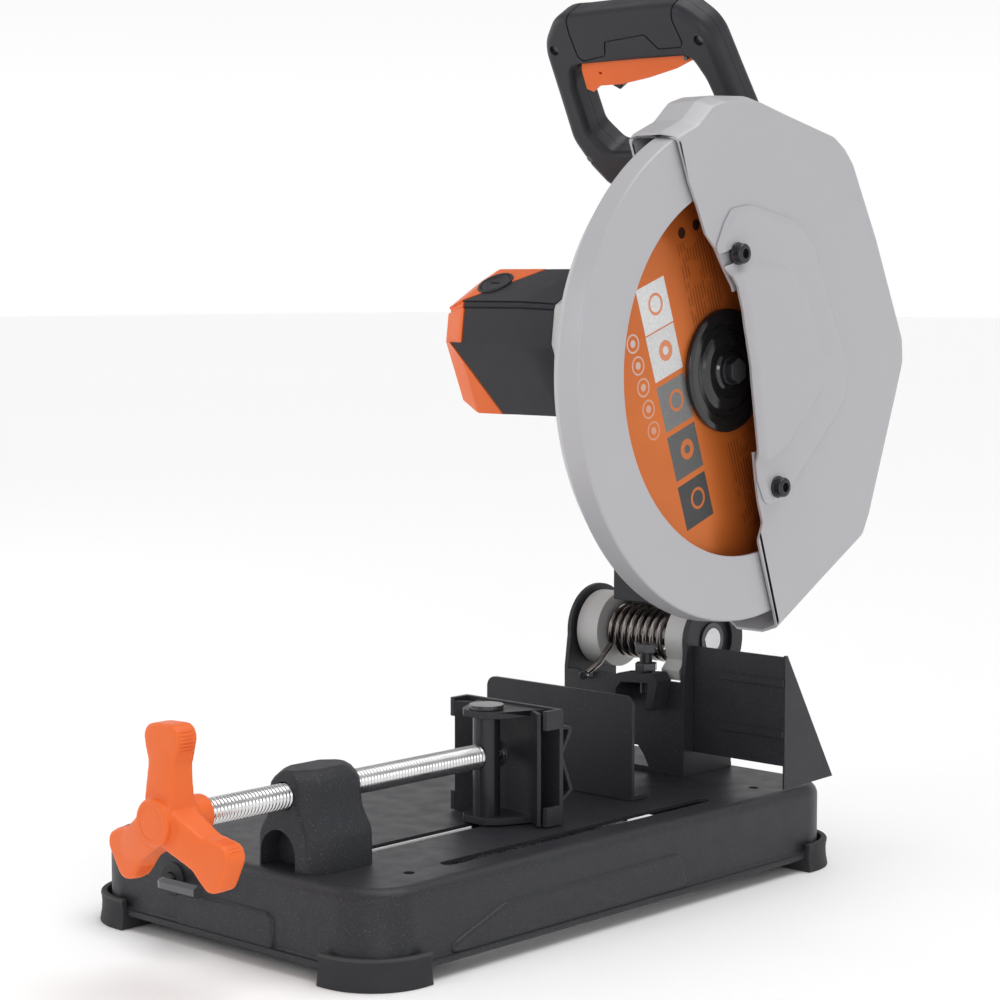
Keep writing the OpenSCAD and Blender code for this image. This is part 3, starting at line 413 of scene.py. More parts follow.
def tube_along(path, radius, sides):
    """A round wire along a path of 3-D points."""
    points = [Vector(p) for p in path]
    rings = []
    side = None
    for i, p in enumerate(points):
        tangent = (points[min(i + 1, len(points) - 1)] - points[max(i - 1, 0)]).normalized()
        if side is None:
            side = tangent.orthogonal().normalized()
        side = (side - tangent * side.dot(tangent)).normalized()
        up = tangent.cross(side)
        rings.append([tuple(p + (side * math.cos(a) + up * math.sin(a)) * radius) for a in turn_of(sides)])
    return loft(rings)


def to_mesh(name, *shapes):
    """One mesh of (verts, faces) shapes in mm, with its faces turned outwards."""
    bm = bmesh.new()
    for verts, faces in shapes:
        vs = [bm.verts.new([c * MM for c in v]) for v in verts]
        for f in faces:
            bm.faces.new([vs[i] for i in f])
    bmesh.ops.recalc_face_normals(bm, faces=bm.faces)
    mesh = bpy.data.meshes.new(name)
    bm.to_mesh(mesh)
    bm.free()
    return mesh


def triangles(mesh):
    work = bmesh.new()
    work.from_mesh(mesh)
    bmesh.ops.triangulate(work, faces=work.faces[:])
    work.to_mesh(mesh)
    work.free()


def evaluated_mesh(host):
    return bpy.data.meshes.new_from_object(host.evaluated_get(bpy.context.evaluated_depsgraph_get()))


def boolean(mesh, cutters, operation="DIFFERENCE"):
    """Inputs are cut into triangles first, so no face of the result is a long concave polygon."""
    for item in [mesh] + list(cutters):
        triangles(item)
    host = add_object("host", mesh)
    tools = []
    for cutter in cutters:
        tools.append(add_object("tool", cutter))
        modifier = host.modifiers.new("cut", "BOOLEAN")
        modifier.object = tools[-1]
        modifier.operation = operation
        modifier.solver = "MANIFOLD"
    result = evaluated_mesh(host)
    for ob in [host] + tools:
        bpy.data.objects.remove(ob)
    result.name = mesh.name
    return result


def prism_x(points, x0, x1):
    return to_mesh("tool", loft([on_x(points, x0), on_x(points, x1)]))


def prism_y(points, y0, y1):
    return to_mesh("tool", loft([on_y(points, y0), on_y(points, y1)]))


def prism_z(points, z0, z1):
    return to_mesh("tool", loft([on_z(points, z0), on_z(points, z1)]))


def rect(a0, a1, b0, b1):
    return [(a0, b0), (a1, b0), (a1, b1), (a0, b1)]


def circle(c, r, n=48):
    return [(c[0] + r * math.cos(a), c[1] + r * math.sin(a)) for a in turn_of(n)]


def arc(c, r, a0, a1, n):
    return [(c[0] + r * math.cos(math.radians(a0 + (a1 - a0) * k / n)),
             c[1] + r * math.sin(math.radians(a0 + (a1 - a0) * k / n))) for k in range(n + 1)]


# ------------------------------------ putting pieces in place

FLAT_AREA = 3e-4
FLAT_ANGLE = 0.0008
WELD, CAD_WELD = 2e-6, 4e-6


def body_of(node):
    return next(body for body, members in frame["record"]["behaviour"]["bodies"].items() if node in members)


def flat_regions(mesh):
    """Normals of flat areas larger than FLAT_AREA (square metres), by face and by vertex."""
    work = bmesh.new()
    work.from_mesh(mesh)
    work.faces.ensure_lookup_table()
    by_face, by_vertex, seen = {}, {}, set()
    for face in work.faces:
        if face.index in seen:
            continue
        seen.add(face.index)
        region, queue = [face], [face]
        while queue:
            for edge in queue.pop().edges:
                if len(edge.link_faces) == 2 and edge.calc_face_angle(1) < FLAT_ANGLE:
                    for other in edge.link_faces:
                        if other.index not in seen:
                            seen.add(other.index)
                            region.append(other)
                            queue.append(other)
        if sum(f.calc_area() for f in region) > FLAT_AREA:
            normal = max(region, key=lambda f: f.calc_area()).normal.copy()
            for f in region:
                by_face[f.index] = normal
                for vertex in f.verts:
                    by_vertex.setdefault(vertex.index, []).append(normal)
    work.free()
    return by_face, by_vertex


def settle_normals(mesh, sharp):
    """Flat areas stay evenly lit, and roundings run into them without a crease."""
    by_face, by_vertex = flat_regions(mesh)
    normals = []
    limit = math.cos(math.radians(sharp))
    for face in mesh.polygons:
        for vertex in face.vertices:
            choices = [by_face[face.index]] if face.index in by_face else by_vertex.get(vertex, [])
            best = max(choices, key=lambda n: n.dot(face.normal), default=None)
            good = best is not None and best.dot(face.normal) > limit
            normals.append(tuple(best) if good else (0.0, 0.0, 0.0))
    mesh.normals_split_custom_set(normals)


def round_edges(ob, width, segments):
    modifier = ob.modifiers.new("bevel", "BEVEL")
    modifier.limit_method = "ANGLE"
    modifier.angle_limit = math.radians(30)
    modifier.width = width * MM
    modifier.segments = segments
    normals = ob.modifiers.new("normals", "WEIGHTED_NORMAL")
    normals.keep_sharp = True
    normals.mode = "FACE_AREA_WITH_ANGLE"
    normals.weight = 60


def place(name, mesh, node, material, replaces=True, sharp=35, bevel=None):
    """Puts a mesh on the body of a CAD node, in place of that node unless told otherwise."""
    bm = bmesh.new()
    bm.from_mesh(mesh)
    bmesh.ops.remove_doubles(bm, verts=bm.verts, dist=WELD)
    if bevel:
        bmesh.ops.dissolve_limit(bm, angle_limit=math.radians(0.6), verts=bm.verts, edges=bm.edges)
    for f in bm.faces:
        f.smooth = True
    if not bevel:
        for e in bm.edges:
            if len(e.link_faces) == 2 and e.calc_face_angle(0) > math.radians(sharp):
                e.smooth = False
    bm.to_mesh(mesh)
    bm.free()
    if not bevel:
        settle_normals(mesh, sharp)
    mesh.materials.clear()
    mesh.materials.append(materials[material])
    ob = add_object(name, mesh)
    if bevel:
        round_edges(ob, *bevel)
    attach(ob, body_of(node))
    if replaces:
        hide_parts(node)


def refine(node, material, width, segments):
    """A clean copy of a CAD node with rounded edges, in place of it."""
    mesh = frame["nodes"][node].data.copy()
    bm = bmesh.new()
    bm.from_mesh(mesh)
    bmesh.ops.remove_doubles(bm, verts=bm.verts, dist=CAD_WELD)
    bm.to_mesh(mesh)
    bm.free()
    for name in ("custom_normal", "sharp_edge", "sharp_face"):
        if name in mesh.attributes:
            mesh.attributes.remove(mesh.attributes[name])
    place("vis_" + node, mesh, node, material, bevel=(width, segments))


# ------------------------------------ pieces: guards, outlines as (y, z)

GUARD_OUTLINE = [(60, 556.8), (81, 573), (98, 586), (114, 590.7), (157, 592.6), (193.5, 584), (254, 570.7),
                 (269, 561.7), (281, 549.7), (314, 492), (352.8, 412), (354.5, 392), (343, 360.5),
                 (309.5, 271.6), (300, 253.7), (246.7, 224), (185.5, 189.4), (140, 200), (20, 480)]
GUARD_RADII = [4, 14, 14, 30, 40, 60, 20, 20, 30, 60, 24, 24, 60, 24, 16, 60, 6, 0, 0]
# Half sections of the guard's skin and of its hollow, as (x, distance inwards)
GUARD_SKIN = [(93, 8.5), (93, 5), (99, 0.01), (124, 0.01), (139, 5.4), (139, 10.5)]
GUARD_HOLLOW = [(95, 10.5), (95, 6.6), (100, 2), (123.6, 2), (137, 6.8), (137, 12)]
RIM_RADIUS, WINDOW_RADIUS, NOSE_RADIUS, BOLT_HOLE = 194, 61.8, 34.2, 5
FRONT_EDGE = [(185.5, 189.4), (159, 261.5), (164.6, 274.7), (158.6, 291.4), (155.2, 307.8), (141.6, 394),
              (131.8, 434), (124.6, 452.4), (116, 463), (103, 481), (92, 491), (81.6, 511.6), (73, 526.7),
              (60, 556.8)]
BEFORE_FRONT = [(40, 610), (-60, 610), (-60, 150), (185.5, 150)]
GUARD_BOLTS = [(124.2, 477), (176.4, 301.6)]
# Section of the moving guard, as (radius, x, corner radius)
SWING_SECTION = [(139, 133, 0), (139, 135, 0.6), (188, 135, 2.2), (189.5, 117, 3), (176, 101.5, 3),
                 (39, 101.5, 0.5), (39, 103.5, 0.5), (175.2, 103.5, 1.5), (187.3, 117, 1.5), (185.9, 133, 0.8)]
SWING_HUB = [(34.1, 97), (40, 97), (40, 104.2), (34.1, 104.2)]
COVER_OUTLINE = [(112.4, 499.3), (121, 510), (144.6, 513.6), (203, 502.4), (224, 487.8), (236.4, 457.9),
                 (272.3, 391), (268, 363), (220.3, 318), (188, 290), (166, 288), (155.2, 307.8), (141.6, 394),
                 (131.8, 434), (124.6, 452.4), (116, 463), (103, 481)]
COVER_RADII = [8, 8, 30, 20, 16, 30, 20, 20, 20, 10, 10, 12, 40, 20, 4, 4, 4]
COVER_TOP = [(114, 457.6), (140, 469.5), (184.5, 463), (203, 447), (233, 392), (230, 378.4), (186.7, 336.3),
             (153, 318), (144, 385), (134, 430), (126, 449)]
COVER_GRID, COVER_START, COVER_CELLS = 3.0, (96, 282), (62, 80)
COVER_SKIN = 2.0
HOOK_SWEEP, HOOK_HALF, HOOK_STEPS = -14, 5.4, 6


def guard_rim():
    rim = []
    for p in GUARD_OUTLINE:
        r = math.dist(p, ARBOR)
        k = RIM_RADIUS / r if r < RIM_RADIUS and p[1] > 400 else 1.01
        rim.append((ARBOR[0] + k * (p[0] - ARBOR[0]), ARBOR[1] + k * (p[1] - ARBOR[1])))
    return fillet(rim, GUARD_RADII, 8)


def guard_shell(rim, section):
    return to_mesh("guard", loft([on_x(inset(rim, d), x) for x, d in fillet(section, 3.5, 4, closed=False)]))


def fixed_guard():
    rim = guard_rim()
    front = fillet(FRONT_EDGE, 6, 4, closed=False) + BEFORE_FRONT
    cuts = [guard_shell(rim, GUARD_HOLLOW), prism_x(front, BACK_X - 3, FACE_X + 3),
            prism_x(circle(ARBOR, WINDOW_RADIUS, 90), FACE_X - 5, FACE_X + 3),
            prism_x(circle(ARBOR, NOSE_RADIUS), BACK_X - 3, BACK_X + 4)]
    cuts += [prism_x(circle(p, BOLT_HOLE), FACE_X - 5, FACE_X + 3) for p in GUARD_BOLTS]
    shell = boolean(guard_shell(rim, GUARD_SKIN), cuts)
    place("guard_shell", shell, "fixed_guard", "guard_paint", sharp=28)
    ring = to_mesh("ring", revolve(rect(NOSE_RADIUS, 48, BACK_X, BACK_X + 2), ARBOR))
    place("guard_flange", ring, "fixed_guard", "guard_paint", replaces=False)


def moving_guard():
    rim = revolve(rounded(SWING_SECTION, 4), ARBOR, -170, 12, 150)
    mesh = to_mesh("swing", rim, revolve(SWING_HUB, ARBOR))
    place("swing_guard", mesh, "moving_guard", "guard_paint", sharp=28)


def edge_distance(p, outline):
    """Distance inside an outline, negative outside."""
    best = 1e9
    odd = False
    for i, b in enumerate(outline):
        a = outline[i - 1]
        ab, ap = (b[0] - a[0], b[1] - a[1]), (p[0] - a[0], p[1] - a[1])
        t = max(0, min(1, (ab[0] * ap[0] + ab[1] * ap[1]) / (ab[0] ** 2 + ab[1] ** 2 + 1e-9)))
        best = min(best, math.hypot(ap[0] - ab[0] * t, ap[1] - ab[1] * t))
        if (a[1] > p[1]) != (b[1] > p[1]) and p[0] < (b[0] - a[0]) * (p[1] - a[1]) / (b[1] - a[1]) + a[0]:
            odd = not odd
    return best if odd else -best


def ease(t):
    t = max(0, min(1, t))
    return t * t * (3 - 2 * t)


def cover_height(p, outline, top):
    """Height above the guard's face: a rolled edge, and a raised panel inside it."""
    edge, panel = ease((edge_distance(p, outline) + 0.5) / 6), ease((edge_distance(p, top) + 7) / 8)
    return 0.7 + 3.2 * edge + 4.1 * panel


def arbor_cover():
    """A sheet raised over a grid, and cut to its outline."""
    outline, top = fillet(COVER_OUTLINE, COVER_RADII, 6), fillet(COVER_TOP, 14, 6)
    nu, nv = COVER_CELLS
    n = nu * nv
    y0, z0 = COVER_START
    grid = [(y0 + i * COVER_GRID, z0 + j * COVER_GRID) for j in range(nv) for i in range(nu)]
    heights = [cover_height(p, outline, top) for p in grid]
    verts = [(FACE_X + 0.3 + h, *p) for p, h in zip(grid, heights)]
    verts += [(FACE_X + 0.3 + max(0, h - COVER_SKIN), *p) for p, h in zip(grid, heights)]
    faces = []
    for j in range(nv - 1):
        for i in range(nu - 1):
            a = j * nu + i
            faces.append((a, a + 1, a + nu + 1, a + nu))
            faces.append((n + a, n + a + nu, n + a + nu + 1, n + a + 1))
    rows = [(a, a + 1) for i in range(nu - 1) for a in (i, (nv - 1) * nu + i)]
    columns = [(a, a + nu) for j in range(nv - 1) for a in (j * nu, j * nu + nu - 1)]
    faces += [(a, b, n + b, n + a) for a, b in rows + columns]
    # the hook is open along the cover's swing about the lower bolt
    upper, lower = GUARD_BOLTS
    hook, reach = math.atan2(upper[0] - lower[0], upper[1] - lower[1]), math.dist(upper, lower)
    there, back = range(HOOK_STEPS + 1), range(HOOK_STEPS, -1, -1)
    slot = [(lower[0] + (reach + d) * math.sin(hook + a), lower[1] + (reach + d) * math.cos(hook + a))
            for d, order in ((-HOOK_HALF, there), (HOOK_HALF, back))
            for a in (math.radians(HOOK_SWEEP * k / HOOK_STEPS) for k in order)]
    sheet = to_mesh("cover", (verts, faces))
    plate = boolean(sheet, [prism_x(outline, FACE_X - 3, FACE_X + 12)], "INTERSECT")
    holes = (circle(lower, 5.1), circle(upper, HOOK_HALF), slot)
    plate = boolean(plate, [prism_x(hole, 130, 160) for hole in holes])
    place("cover_plate", plate, "arbor_cover", "guard_paint", sharp=40)


# ------------------------------------ pieces: disc's flange and bolts

# Sections as (radius, height above the seat, corner radius)
FLANGE_SECTION = [(12.7, 0.1, 0), (46.5, 0.1, 0.5), (46.5, 4, 1.5), (43, 5, 1.5), (37, 5, 0.5), (35, 3.6, 0.5),
                  (31, 3.6, 0.5), (29, 5.6, 0.6), (25, 6.6, 1), (21, 6.6, 0.6), (19.5, 5, 0.6), (15.5, 5, 0.6),
                  (14, 7, 0.6), (5, 7, 0), (5, 3, 0), (12.7, 3, 0)]
BOLT_SECTION = [(5.1, 0, 0), (8.35, 0, 0.4), (8.35, 1.5, 0.5), (7.6, 1.6, 0.3), (7.4, 7.6, 2.2),
                (3.6, 7.9, 0.3), (3.6, 4.0, 0), (0.01, 4.0, 0), (0.01, 1, 0), (5.0, 1, 0)]


def raised(section, x0):
    return [(r, x0 + h, corner) for r, h, corner in section]


def outer_flange():
    mesh = to_mesh("flange", revolve(rounded(raised(FLANGE_SECTION, DISC_X + 1.2), 3), ARBOR))
    place("flange_cap", mesh, "outer_flange", "gloss_black", sharp=50)


def guard_bolts():
    """Low flanged heads with a round socket, and their shanks."""
    shapes = []
    seat = FACE_X + 4.4
    for p in GUARD_BOLTS:
        shapes.append(revolve(rounded(raised(BOLT_SECTION, seat), 4), p))
        shank = [(p[0] + 4.9 * math.sin(a), p[1] + 4.9 * math.cos(a)) for a in turn_of(32)]
        shapes.append(loft([on_x(shank, x) for x in (132.2, seat + 1.2)]))
    place("cover_bolts", to_mesh("bolts", *shapes), "guard_bolts", "black_oxide", sharp=50)


# ------------------------------------ pieces: vise

THREAD_START, THREAD_END, PITCH, THREAD_SIDES = -338, -54.7, 3.0, 36
THREAD_RADIUS, THREAD_DEPTH = 8.98, 1.05
KNOB_FACE = -354
LOBE_TURNS = (-93, 27, 147)
HUB_SECTION = [(0.01, -0.2, 0), (10.4, -0.2, 0.5), (11.2, -1, 0.5), (14.2, -1, 0.8), (15.6, 0.5, 0.8),
               (15.6, 6, 0), (0.01, 6, 0)]
# Height, half width, and how far the ends are pulled in
BLOCK_ROWS = ((65, 33, 0), (70, 33, 0), (86, 32.6, 0), (91, 31.2, 0.3), (97, 27.6, 0.8), (103, 24.4, 1),
              (110, 23.2, 1), (117, 23, 1), (122, 22.4, 1.2), (126, 19.6, 2), (129.5, 15.5, 3), (131.5, 12, 5))
BLOCK_FRONT, BLOCK_BACK = -243, -184


def vise_screw():
    rows = int((THREAD_END - THREAD_START) / 0.5)
    rings = []
    for i in range(rows + 1):
        y = THREAD_START + (THREAD_END - THREAD_START) * i / rows
        fade = min(1, (y - THREAD_START) / 3, (THREAD_END - y) / 3)
        ring = []
        for k, a in enumerate(turn_of(THREAD_SIDES)):
            phase = (y / PITCH - k / THREAD_SIDES) % 1
            r = THREAD_RADIUS - THREAD_DEPTH * fade * ease(abs(2 * phase - 1) * 1.25 - 0.1)
            ring.append((SCREW[0] + r * math.cos(a), y, SCREW[1] + r * math.sin(a)))
        rings.append(ring)
    tail = [on_y(circle(SCREW, r, 32), y) for r, y in ((6, -54.8), (6, -27.6), (5.2, -26.7))]
    place("vise_thread", to_mesh("screw", loft(rings), loft(tail)), "vise_screw", "zinc_steel", sharp=60)


def knob_rib(out, across, side, reach):
    """A rib on a lobe's side, following its width at this reach from the screw."""
    half = 16.55 - 0.33 * max(0, 50 - reach) if reach < 53 else 7.7 + math.sqrt(81 - (reach - 53) ** 2)
    centre = Vector((SCREW[0], KNOB_FACE + 18.5, SCREW[1])) + out * reach + across * side * half
    path = [centre + Vector((0, t, 0)) - across * side * 0.9 * (t / 6.5) ** 4
            for t in (-6.5, -5, -2.5, 0, 2.5, 5, 6.5)]
    return tube_along(path, 0.85, 10)


def vise_knob():
    """The lobes are remeshed and smoothed into one moulding, and ribs are set into their tips."""
    host = add_object("host", frame["nodes"]["vise_knob"].data.copy())
    remesh, smooth = host.modifiers.new("remesh", "REMESH"), host.modifiers.new("smooth", "SMOOTH")
    remesh.mode, remesh.voxel_size = "VOXEL", 1.1 * MM
    smooth.factor, smooth.iterations = 0.6, 9
    body = evaluated_mesh(host)
    bpy.data.objects.remove(host)
    place("knob_body", body, "vise_knob", "orange_plastic", sharp=80)
    ribs = []
    for a in (math.radians(turn) for turn in LOBE_TURNS):
        out, across = Vector((math.cos(a), 0, -math.sin(a))), Vector((-math.sin(a), 0, -math.cos(a)))
        ribs += [knob_rib(out, across, side, 44 + 2.2 * k) for side in (-1, 1) for k in range(7)]
    place("knob_ribs", to_mesh("ribs", *ribs), "vise_knob", "orange_plastic", replaces=False, sharp=80)
    hub = to_mesh("hub", turned_y(rounded(raised(HUB_SECTION, KNOB_FACE), 4), SCREW))
    place("knob_hub", hub, "vise_knob", "orange_plastic", replaces=False, sharp=60)


def vise_block():
    rings = []
    for z, half, pull in BLOCK_ROWS:
        x0, x1, y0, y1 = SCREW[0] - half, SCREW[0] + half, BLOCK_FRONT + pull, BLOCK_BACK - pull
        corners = [(x0 + 9, y0), (x1 - 9, y0), (x1, y0 + 13), (x1, y1 - 9), (x1 - 8, y1), (x0 + 8, y1),
                   (x0, y1 - 9), (x0, y0 + 13)]
        rings.append(on_z(fillet(corners, 5, 5), z))
    arch = [(60, 60)] + arc((43, 74), 17, 0, 180, 24) + [(26, 60)]
    cuts = [prism_y(arch, -250, -227), prism_y(circle(SCREW, 9.7), -250, -180),
            prism_y(circle(SCREW, 13), -220, -180)]
    block = boolean(to_mesh("block", loft(rings)), cuts)
    place("block_casting", block, "vise_block", "cast_iron", bevel=(1.6, 3))


# ------------------------------------ pieces: spring

COIL_START, COIL_RADIUS, COIL_STEP, COIL_TURNS, COIL_SIDES = -43, 20, 7.4, 8, 40
COIL_PHASE = math.radians(60)
SPRING_LEG = [(-50, 177, 137), (-47, 182.2, 141.2), (-43.6, 188, 146), (-43.3, 193, 151)]
PEG_START, PEG_LEAN = Vector((-50, 178, 137)), math.radians(25)


def torsion_spring():
    coil = []
    for i in range(COIL_SIDES * COIL_TURNS + 1):
        a = 2 * math.pi * i / COIL_SIDES
        b = a + COIL_PHASE
        coil.append((COIL_START + COIL_STEP * a / (2 * math.pi), PIVOT[0] - COIL_RADIUS * math.sin(b),
                     PIVOT[1] - COIL_RADIUS * math.cos(b)))
    lead = [tuple(Vector(SPRING_LEG[-1]).lerp(Vector(coil[0]), t)) for t in (0.35, 0.7)]
    mesh = to_mesh("spring", tube_along(SPRING_LEG + lead + coil, 2.5, 14))
    place("spring_coil", mesh, "torsion_spring", "spring_steel", sharp=60)
    axis = Vector((math.sin(PEG_LEAN), -math.cos(PEG_LEAN), 0))
    peg = tube_along([tuple(PEG_START + axis * t) for t in (0, 0.6, 4, 7.4, 8)], 3.4, 20)
    place("spring_peg", to_mesh("peg", peg), "torsion_spring", "black_oxide", replaces=False, bevel=(0.6, 2))


# ------------------------------------ pieces: tray and feet

TRAY_WIDTH, TRAY_LENGTH, TRAY_CORNER = 293, 508, 38
# (distance outwards, height)
HEM_ROWS = [(3.0, 10), (3.6, 11), (3.6, 13), (3.0, 14), (0.9, 14.6), (0, 16)]
FOOT_ROWS = ((8.5, 0), (8.5, 1), (7.6, 6), (7.2, 9), (7.0, 14), (7.4, 18), (8.0, 20.5), (7.2, 22), (3.3, 22))
FRONT_PANEL = [(-47, 12)] + arc((-41, 30), 6, 180, 90, 6) + arc((43, 30), 6, 90, 0, 6) + [(49, 12)]
SIDE_PANEL = [(-193, 15, 4), (-131, 37, 6), (54, 39, 5), (64, 15, 3)]
PANEL_RISE = ((0.0, 2.2), (1.1, 1.6), (1.9, 0.4), (2.1, -1.0))


def round_rect(w, l, r, n=10):
    return (arc((w / 2 - r, l / 2 - r), r, 0, 90, n) + arc((r - w / 2, l / 2 - r), r, 90, 180, n)
            + arc((r - w / 2, r - l / 2), r, 180, 270, n) + arc((w / 2 - r, r - l / 2), r, 270, 360, n))


def tray_rings(rows, n=10):
    """Rings round the tray, each at its distance outwards and its height."""
    return [on_z(round_rect(TRAY_WIDTH + 2 * g, TRAY_LENGTH + 2 * g, TRAY_CORNER + g, n), z) for g, z in rows]


def slot_outline(x, y0, y1, r):
    return arc((x, y1 - r), r, 0, 180, 12) + arc((x, y0 + r), r, 180, 360, 12)


def base_tray():
    outer = HEM_ROWS + [(-9 * (1 - math.cos(t)), 56 + 9 * math.sin(t))
                        for t in (math.radians(10 * k) for k in range(10))]
    inner = [(-2.5, 5), (-2.5, 55)] + [(-2.5 - 7.5 * (1 - math.cos(t)), 55 + 7.5 * math.sin(t))
                                        for t in (math.radians(15 * k) for k in range(1, 7))]
    swing = arc((0, 0), 116.5, 146, 229, 30) + arc((0, 0), 107.5, 229, 146, 30)
    swing = [(p[0] + 62, p[1] + 92.4) for p in swing]
    slots = [slot_outline(116, -160, 127, 5.75), slot_outline(48, -180, 24, 7), swing]
    slots += [circle((sx * 116, -3 + sy * 189), 4, 24) for sx in (-1, 1) for sy in (-1, 1)]
    cuts = [to_mesh("hollow", loft(tray_rings(inner)))] + [prism_z(shape, 50, 70) for shape in slots]
    cuts.append(prism_y(circle((-52, 44), 8, 32), -262, -240))
    tray = boolean(to_mesh("tray", loft(tray_rings(outer))), cuts)
    place("tray_shell", tray, "base_tray", "powder_coat", sharp=40)
    # pressed panels on the front and the right side, with soft edges
    side = rounded(SIDE_PANEL, 5)
    panels = [loft([on_y(inset(FRONT_PANEL, -g), -253.9 - h) for h, g in PANEL_RISE]),
              loft([on_x(inset(side, -g), 146.4 + h) for h, g in PANEL_RISE])]
    place("tray_panels", to_mesh("panels", *panels), "base_tray", "powder_coat", replaces=False, sharp=60)
    # tabs over the feet
    for k, (sx, sy) in enumerate((sx, sy) for sx in (-1, 1) for sy in (-1, 1)):
        x, y = sx * 126.5, sy * 234
        corner = prism_z(rect(x - 20, x + 20, y - 20, y + 20), 0, 20)
        tab = to_mesh("tab", loft([on_z(round_rect(291, 506, 37), z) for z in (10, 12.5)]))
        place(f"tray_tab_{k}", boolean(tab, [corner], "INTERSECT"), "base_tray", "powder_coat", replaces=False)


def rubber_feet():
    for k, (sx, sy) in enumerate(((1, 1), (-1, 1), (1, -1), (-1, -1))):
        keep = prism_z(rect(sx * 100.5, sx * 160, sy * 208, sy * 266), -1, 30)
        foot = boolean(to_mesh("foot", loft(tray_rings(FOOT_ROWS, 14))), [keep], "INTERSECT")
        seat = to_mesh("seat", loft(tray_rings(((3.2, 10), (3.2, 40)), 14)))
        foot = boolean(foot, [seat, prism_z(circle((sx * 122.5, sy * 230), 5, 24), -1, 4)])
        place(f"foot_{k}", foot, "rubber_feet", "rubber", replaces=k == 0, bevel=(1.2, 2))


# ------------------------------------ pieces: motor

# Half of the outline's corners as (y, z), with x where the orange part ends and where the collar begins
MOTOR_HALF = [((147, 349), -114, -50), ((122.5, 407.5), -150, -76), ((122.5, 407.5), -137, -76),
              ((126, 435), -137, -79), ((129.5, 436.5), -141, -79), ((129.5, 440), -141, -79),
              ((127.5, 441.5), -141, -77), ((173, 467), -90, -50)]
BRUSH_TURNS, BRUSH_LEAN, BRUSH_X = (0, 180), 30, -126
# Sections as (radius, height from the motor's axis, corner radius)
BRUSH_HOLE = [(0.01, 46), (13.1, 46), (13.1, 64), (0.01, 64)]
BRUSH_RING = [(13.1, 50, 0), (15.6, 50, 0), (15.6, 57.3, 0.8), (13.1, 57.3, 0.8)]
BRUSH_CAP = [(0.01, 44, 0), (12.6, 44, 0), (12.6, 57.0, 0.8), (10.6, 57.0, 0.4), (9.9, 56.4, 0.4),
             (0.01, 56.4, 0)]
VENT_STEP = 9
LOCK_SECTION = [(0.01, 92.9, 0), (4.6, 92.4, 0.4), (5.2, 92, 0.3), (6.5, 92, 1.0), (6.5, 99, 0.4),
                (4.85, 99, 0), (4.85, 114, 0.4), (2.95, 114, 0), (2.95, 128, 0.5), (0.01, 128, 0)]


def motor_sides():
    """The outline with its long sides divided: points, and both x values for each."""
    corners = MOTOR_HALF + [((2 * MOTOR[0] - p[0], 2 * MOTOR[1] - p[1]), a, b) for p, a, b in MOTOR_HALF]
    points, seam, collar = [], [], []
    for i, (p, a, b) in enumerate(corners):
        q, a2, b2 = corners[(i + 1) % len(corners)]
        n = 1 if math.dist(p, q) < 8 else 12
        for t in (k / n for k in range(n)):
            points.append((p[0] + (q[0] - p[0]) * t, p[1] + (q[1] - p[1]) * t))
            seam.append(a + (a2 - a) * t)
            collar.append(b + (b2 - b) * t)
    return points, seam, collar


def brush_axes(turn):
    """A brush's direction outwards, two directions across it, and its centre."""
    a = math.radians(turn + BRUSH_LEAN)
    out, side = Vector((0, -math.sin(a), math.cos(a))), Vector((1, 0, 0))
    return out, side, out.cross(side), Vector((BRUSH_X, MOTOR[0], MOTOR[1]))


def brush_solid(turn, profile):
    """A turned solid on a brush's axis; profile is (radius, height from the motor's axis)."""
    out, side, up, centre = brush_axes(turn)
    return loft([[tuple(centre + out * h + (side * math.cos(t) + up * math.sin(t)) * r) for r, h in profile]
                 for t in turn_of(56)], loop=True)


def motor_body():
    points, seam, collar = motor_sides()
    n = len(points)

    def ring(scale, xs):
        return [(x, MOTOR[0] + scale * (p[0] - MOTOR[0]), MOTOR[1] + scale * (p[1] - MOTOR[1]))
                for p, x in zip(points, xs)]

    def along(step):
        return [x + step for x in seam]

    def brush_holes():
        return [to_mesh("hole", brush_solid(turn, BRUSH_HOLE)) for turn in BRUSH_TURNS]

    black = [ring(0.9, along(0.6)), ring(0.99, along(0.6)), ring(1.0, along(1.4)), ring(1.0, collar),
             ring(0.955, [-43.5] * n), ring(0.94, [-42] * n)]
    body = boolean(to_mesh("motor", loft(black)), brush_holes())
    place("motor_shell", body, "motor_housing", "black_plastic", bevel=(1.1, 3))
    orange = [ring(0.80, [-165] * n), ring(0.835, [-163.4] * n), ring(0.99, [min(-143, x) for x in along(-2)]),
              ring(1.004, [min(-140, x) for x in along(-1)]), ring(1.004, along(-0.2)), ring(0.985, seam),
              ring(0.93, along(0.3))]
    vents = []
    for k in range(-3, 4):
        y, z = MOTOR[0] - 0.15 * VENT_STEP * k, MOTOR[1] + VENT_STEP * k
        vents.append(prism_x(rect(y - 20, y + 20, z - 1.5, z + 1.5), -170, -158))
    cap = boolean(to_mesh("cap", loft(orange)), vents + brush_holes())
    place("motor_cap", cap, "motor_end_cap", "orange_plastic", bevel=(1.3, 3))


def brush_caps():
    for k, turn in enumerate(BRUSH_TURNS):
        out, side, up, centre = brush_axes(turn)
        bar = [[tuple(centre + out * h + side * x + up * y) for x, y in rect(-5, 5, -1, 1)]
               for h in (55.2, 59)]
        cap = boolean(to_mesh("brush", brush_solid(turn, rounded(BRUSH_CAP, 3))), [to_mesh("bar", loft(bar))])
        place(f"brush_cap_{k}", cap, "brush_caps", "black_plastic", replaces=k == 0, sharp=40)
        ring = to_mesh("ring", brush_solid(turn, rounded(BRUSH_RING, 3)))
        place(f"brush_ring_{k}", ring, "motor_housing", "black_plastic", replaces=False, sharp=40)


